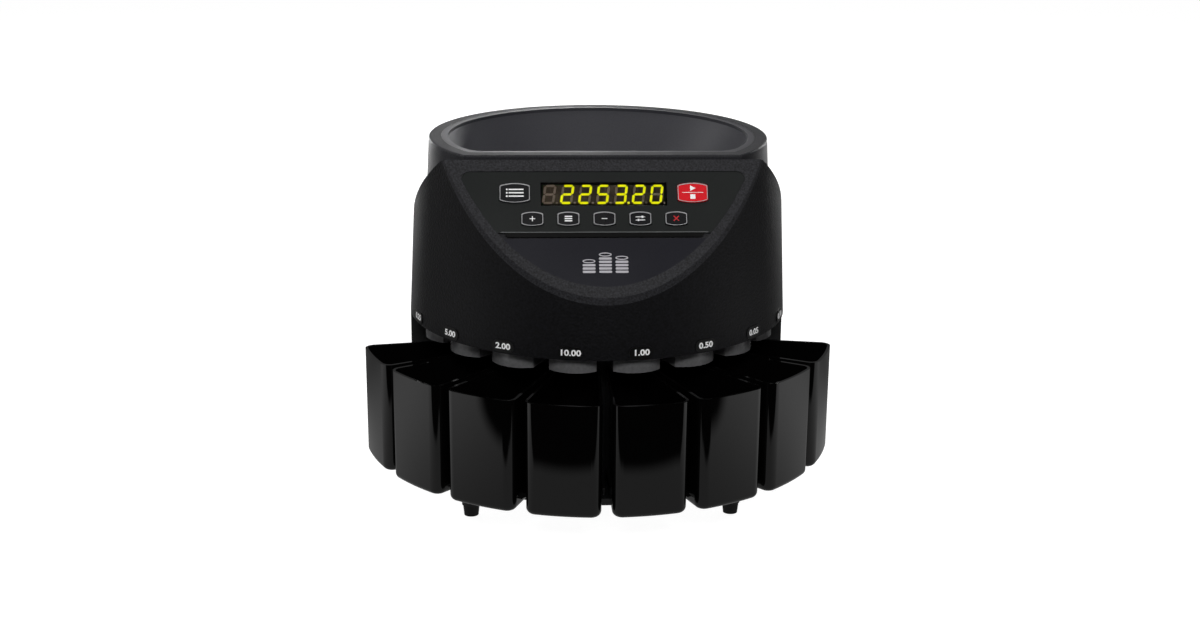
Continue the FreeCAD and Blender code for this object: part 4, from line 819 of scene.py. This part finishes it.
# The floor's front end, where it starts to curve up behind, the curve's radius, its top and half width.
FLOOR_FRONT = -6.0
FLOOR_BEND = 3.0
FLOOR_CURVE = 1.5
FLOOR_CURVE_STEPS = 16
FLOOR_TOP = 6.0
FLOOR_HALF_WIDTH = 8.0
FLOOR_GREY = (0.25, 0.25, 0.25)
FLOOR_WAVE = 3.0
FLOOR_ROUGH = (0.8, 0.9)
FLOOR_SEEN = 0.96
WHITE = (1.0, 1.0, 1.0)

# Light off the floor, from its strength near the machine to that at its sides and behind it. A rounded
# patch in front of the machine gives none: its centre, half sizes, skew towards its sides and squareness.
NEAR_GLOW = 0.34
SIDE_GLOW = 0.80
BACK_GLOW = 0.15
SIDE_RANGE = (0.10, 0.50)
BACK_RANGE = (-0.1, 0.25)
PATCH_CENTRE = 1.01
PATCH_HALF = (0.503, 0.67)
PATCH_SKEW = 0.25
PATCH_POWER = 4.0
PATCH_EDGE = (0.88, 1.10)
SURROUND_SEEN = 1.0
SURROUND_BOUNCE = 0.05


def direct_view_mix(tree, bounced, seen, output):
    """Show one shader directly and use the other, dimmer one for bounced light."""
    path = tree.nodes.new("ShaderNodeLightPath")
    mix = tree.nodes.new("ShaderNodeMixShader")
    tree.links.new(path.outputs["Is Camera Ray"], mix.inputs[0])
    tree.links.new(bounced, mix.inputs[1])
    tree.links.new(seen, mix.inputs[2])
    tree.links.new(mix.outputs[0], output.inputs["Surface"])


def math_node(tree, operation, first, second=0.0):
    """One sum on a value, with a number or another value."""
    node = tree.nodes.new("ShaderNodeMath")
    node.operation = operation
    tree.links.new(first, node.inputs[0])
    if isinstance(second, float):
        node.inputs[1].default_value = second
    else:
        tree.links.new(second, node.inputs[1])
    return node.outputs["Value"]


def patch_power(tree, distance, half):
    """A distance as a share of a half size of the dark patch, raised to the patch's power."""
    share = math_node(tree, "DIVIDE", distance, half)
    return math_node(tree, "POWER", share, PATCH_POWER)


def floor_glow(tree, coordinate):
    """Light off the floor: bright beside the machine, less behind it, none in a patch before it."""
    split = tree.nodes.new("ShaderNodeSeparateXYZ")
    tree.links.new(coordinate, split.inputs[0])
    side = math_node(tree, "ABSOLUTE", split.outputs["X"])
    skew = math_node(tree, "MULTIPLY", side, PATCH_SKEW)
    from_centre = math_node(tree, "ADD", split.outputs["Y"], PATCH_CENTRE)
    ahead = math_node(tree, "ABSOLUTE", math_node(tree, "SUBTRACT", from_centre, skew))
    across = patch_power(tree, side, PATCH_HALF[0])
    along = patch_power(tree, ahead, PATCH_HALF[1])
    outside = remap(tree, math_node(tree, "ADD", across, along), PATCH_EDGE, (0.0, 1.0), "SMOOTHSTEP")
    sideways = remap(tree, side, SIDE_RANGE, (NEAR_GLOW, SIDE_GLOW), "SMOOTHSTEP")
    backwards = remap(tree, split.outputs["Y"], BACK_RANGE, (1.0, BACK_GLOW), "SMOOTHSTEP")
    strength = math_node(tree, "MULTIPLY", math_node(tree, "MULTIPLY", outside, sideways), backwards)
    glow = tree.nodes.new("ShaderNodeEmission")
    tree.links.new(strength, glow.inputs["Strength"])
    return glow.outputs["Emission"]


def make_stage():
    """A white floor that curves up far behind."""
    profile = [(FLOOR_FRONT, 0.0)]
    for i in range(FLOOR_CURVE_STEPS + 1):
        angle = math.pi / 2 * i / FLOOR_CURVE_STEPS
        y = FLOOR_BEND + FLOOR_CURVE * math.sin(angle)
        profile.append((y, FLOOR_CURVE - FLOOR_CURVE * math.cos(angle)))
    profile.append((FLOOR_BEND + FLOOR_CURVE, FLOOR_TOP))
    verts = [(x, y, z) for x in (-FLOOR_HALF_WIDTH, FLOOR_HALF_WIDTH) for y, z in profile]
    count = len(profile)
    faces = [(i, i + 1, count + i + 1, count + i) for i in range(count - 1)]
    mesh = bpy.data.meshes.new("floor")
    mesh.from_pydata(verts, [], faces)
    floor = bpy.data.objects.new("floor", mesh)
    bpy.context.scene.collection.objects.link(floor)
    material, tree, shader, coordinate = new_material("pale_floor")
    shader.inputs["Base Color"].default_value = (*FLOOR_GREY, OPAQUE)
    shader.inputs["Emission Color"].default_value = (*WHITE, OPAQUE)
    shader.inputs["Emission Strength"].default_value = FLOOR_SEEN
    rough = remap(tree, noise(tree, coordinate, FLOOR_WAVE), NOISE_RANGE, FLOOR_ROUGH)
    tree.links.new(rough, shader.inputs["Roughness"])
    direct_view_mix(tree, floor_glow(tree, coordinate), shader.outputs["BSDF"], tree.nodes["Material Output"])
    floor.data.materials.append(material)


def make_surround():
    """A surround that is seen as white and gives little light."""
    world = bpy.data.worlds.new("surround")
    world.use_nodes = True
    tree = world.node_tree
    seen = tree.nodes["Background"]
    bounced = tree.nodes.new("ShaderNodeBackground")
    for background, strength in ((seen, SURROUND_SEEN), (bounced, SURROUND_BOUNCE)):
        background.inputs["Color"].default_value = (*WHITE, OPAQUE)
        background.inputs["Strength"].default_value = strength
    direct_view_mix(tree, bounced.outputs[0], seen.outputs[0], tree.nodes["World Output"])
    bpy.context.scene.world = world


# ---- lights and camera -------------------------------------------------------------------------

# Each light's name, place, the point it faces, width and height, and power in watts.
LIGHTS = [
    ("top_softbox", (0.0, 0.35, 1.7), (0.0, 0.05, 0.15), (1.6, 1.0), 14),
    ("front_softbox", (0.0, -1.6, 1.15), (0.0, 0.0, 0.15), (0.9, 0.4), 20),
    ("back_softbox", (0.0, 2.6, 1.0), (0.0, 0.0, 0.25), (0.2, 0.8), 4.7),
    ("left_panel", (-1.4, 0.7, 0.9), (0.0, 0.0, 0.15), (1.0, 1.2), 9),
    ("right_panel", (1.4, 0.9, 0.7), (0.0, 0.0, 0.15), (1.0, 1.2), 1.4),
    ("left_rim_light", (-0.8, 1.8, 0.2), (0.0, 0.0, 0.15), (0.5, 0.3), 18),
    ("right_rim_light", (1.0, 1.7, 0.3), (0.0, 0.0, 0.15), (0.5, 0.5), 16),
]

# Angles in degrees, the target and distance in millimetres. The target is right of the middle as the
# camera sees it, and the azimuth is counted from the front towards +X.
CAMERA_AZIMUTH = -2.73
CAMERA_ELEVATION = 16.26
CAMERA_ROLL = 0.48
CAMERA_DISTANCE = 1485.1
CAMERA_TARGET_RIGHT = 3.0
CAMERA_TARGET_Y = 27.4
CAMERA_TARGET_Z = 121.8
CAMERA_LENS = 57.29
CAMERA_SENSOR = 36.0


def make_lights():
    """Softboxes above, before and behind, panels at the sides and rim lights low behind."""
    for name, place, target, size, power in LIGHTS:
        light = bpy.data.lights.new(name, "AREA")
        light.shape = "RECTANGLE"
        light.size = size[0]
        light.size_y = size[1]
        light.energy = power
        lamp = bpy.data.objects.new(name, light)
        lamp.location = place
        lamp.rotation_euler = (Vector(target) - Vector(place)).to_track_quat("-Z", "Y").to_euler()
        bpy.context.scene.collection.objects.link(lamp)


def make_camera():
    """The camera, above the front and a little left of it."""
    azimuth = math.radians(CAMERA_AZIMUTH)
    elevation = math.radians(CAMERA_ELEVATION)
    roll = math.radians(CAMERA_ROLL)
    level = math.cos(elevation)
    back = Vector((math.sin(azimuth) * level, -math.cos(azimuth) * level, math.sin(elevation)))
    right = Vector((math.cos(azimuth), math.sin(azimuth), 0))
    up = back.cross(right)
    target = mm(0, CAMERA_TARGET_Y, CAMERA_TARGET_Z) + right * CAMERA_TARGET_RIGHT * MM
    rolled_right = right * math.cos(roll) + up * math.sin(roll)
    rolled_up = up * math.cos(roll) - right * math.sin(roll)
    turn = Matrix((rolled_right, rolled_up, back)).transposed().to_4x4()
    data = bpy.data.cameras.new("camera")
    data.lens = CAMERA_LENS
    data.sensor_width = CAMERA_SENSOR
    camera = bpy.data.objects.new("camera", data)
    camera.matrix_world = Matrix.Translation(target + back * CAMERA_DISTANCE * MM) @ turn
    bpy.context.scene.collection.objects.link(camera)
    bpy.context.scene.camera = camera


# ---- the scene ---------------------------------------------------------------------------------

bpy.context.scene.view_settings.view_transform = "Standard"
dress_nodes()
make_display()
make_keys()
make_values()
make_symbol()
make_overlay_highlight_and_shadow()
make_vents()
make_back()
make_deck_screws()
make_disc_ribs()
make_seam()
soften([f"coin_bin_{i + 1}" for i in range(BIN_COUNT)], BIN_EDGE)
soften(["hopper_bowl", "hopper_ring", "upper_casing", "panel_bezel"], CASING_EDGE)
make_stage()
make_surround()
make_lights()
make_camera()
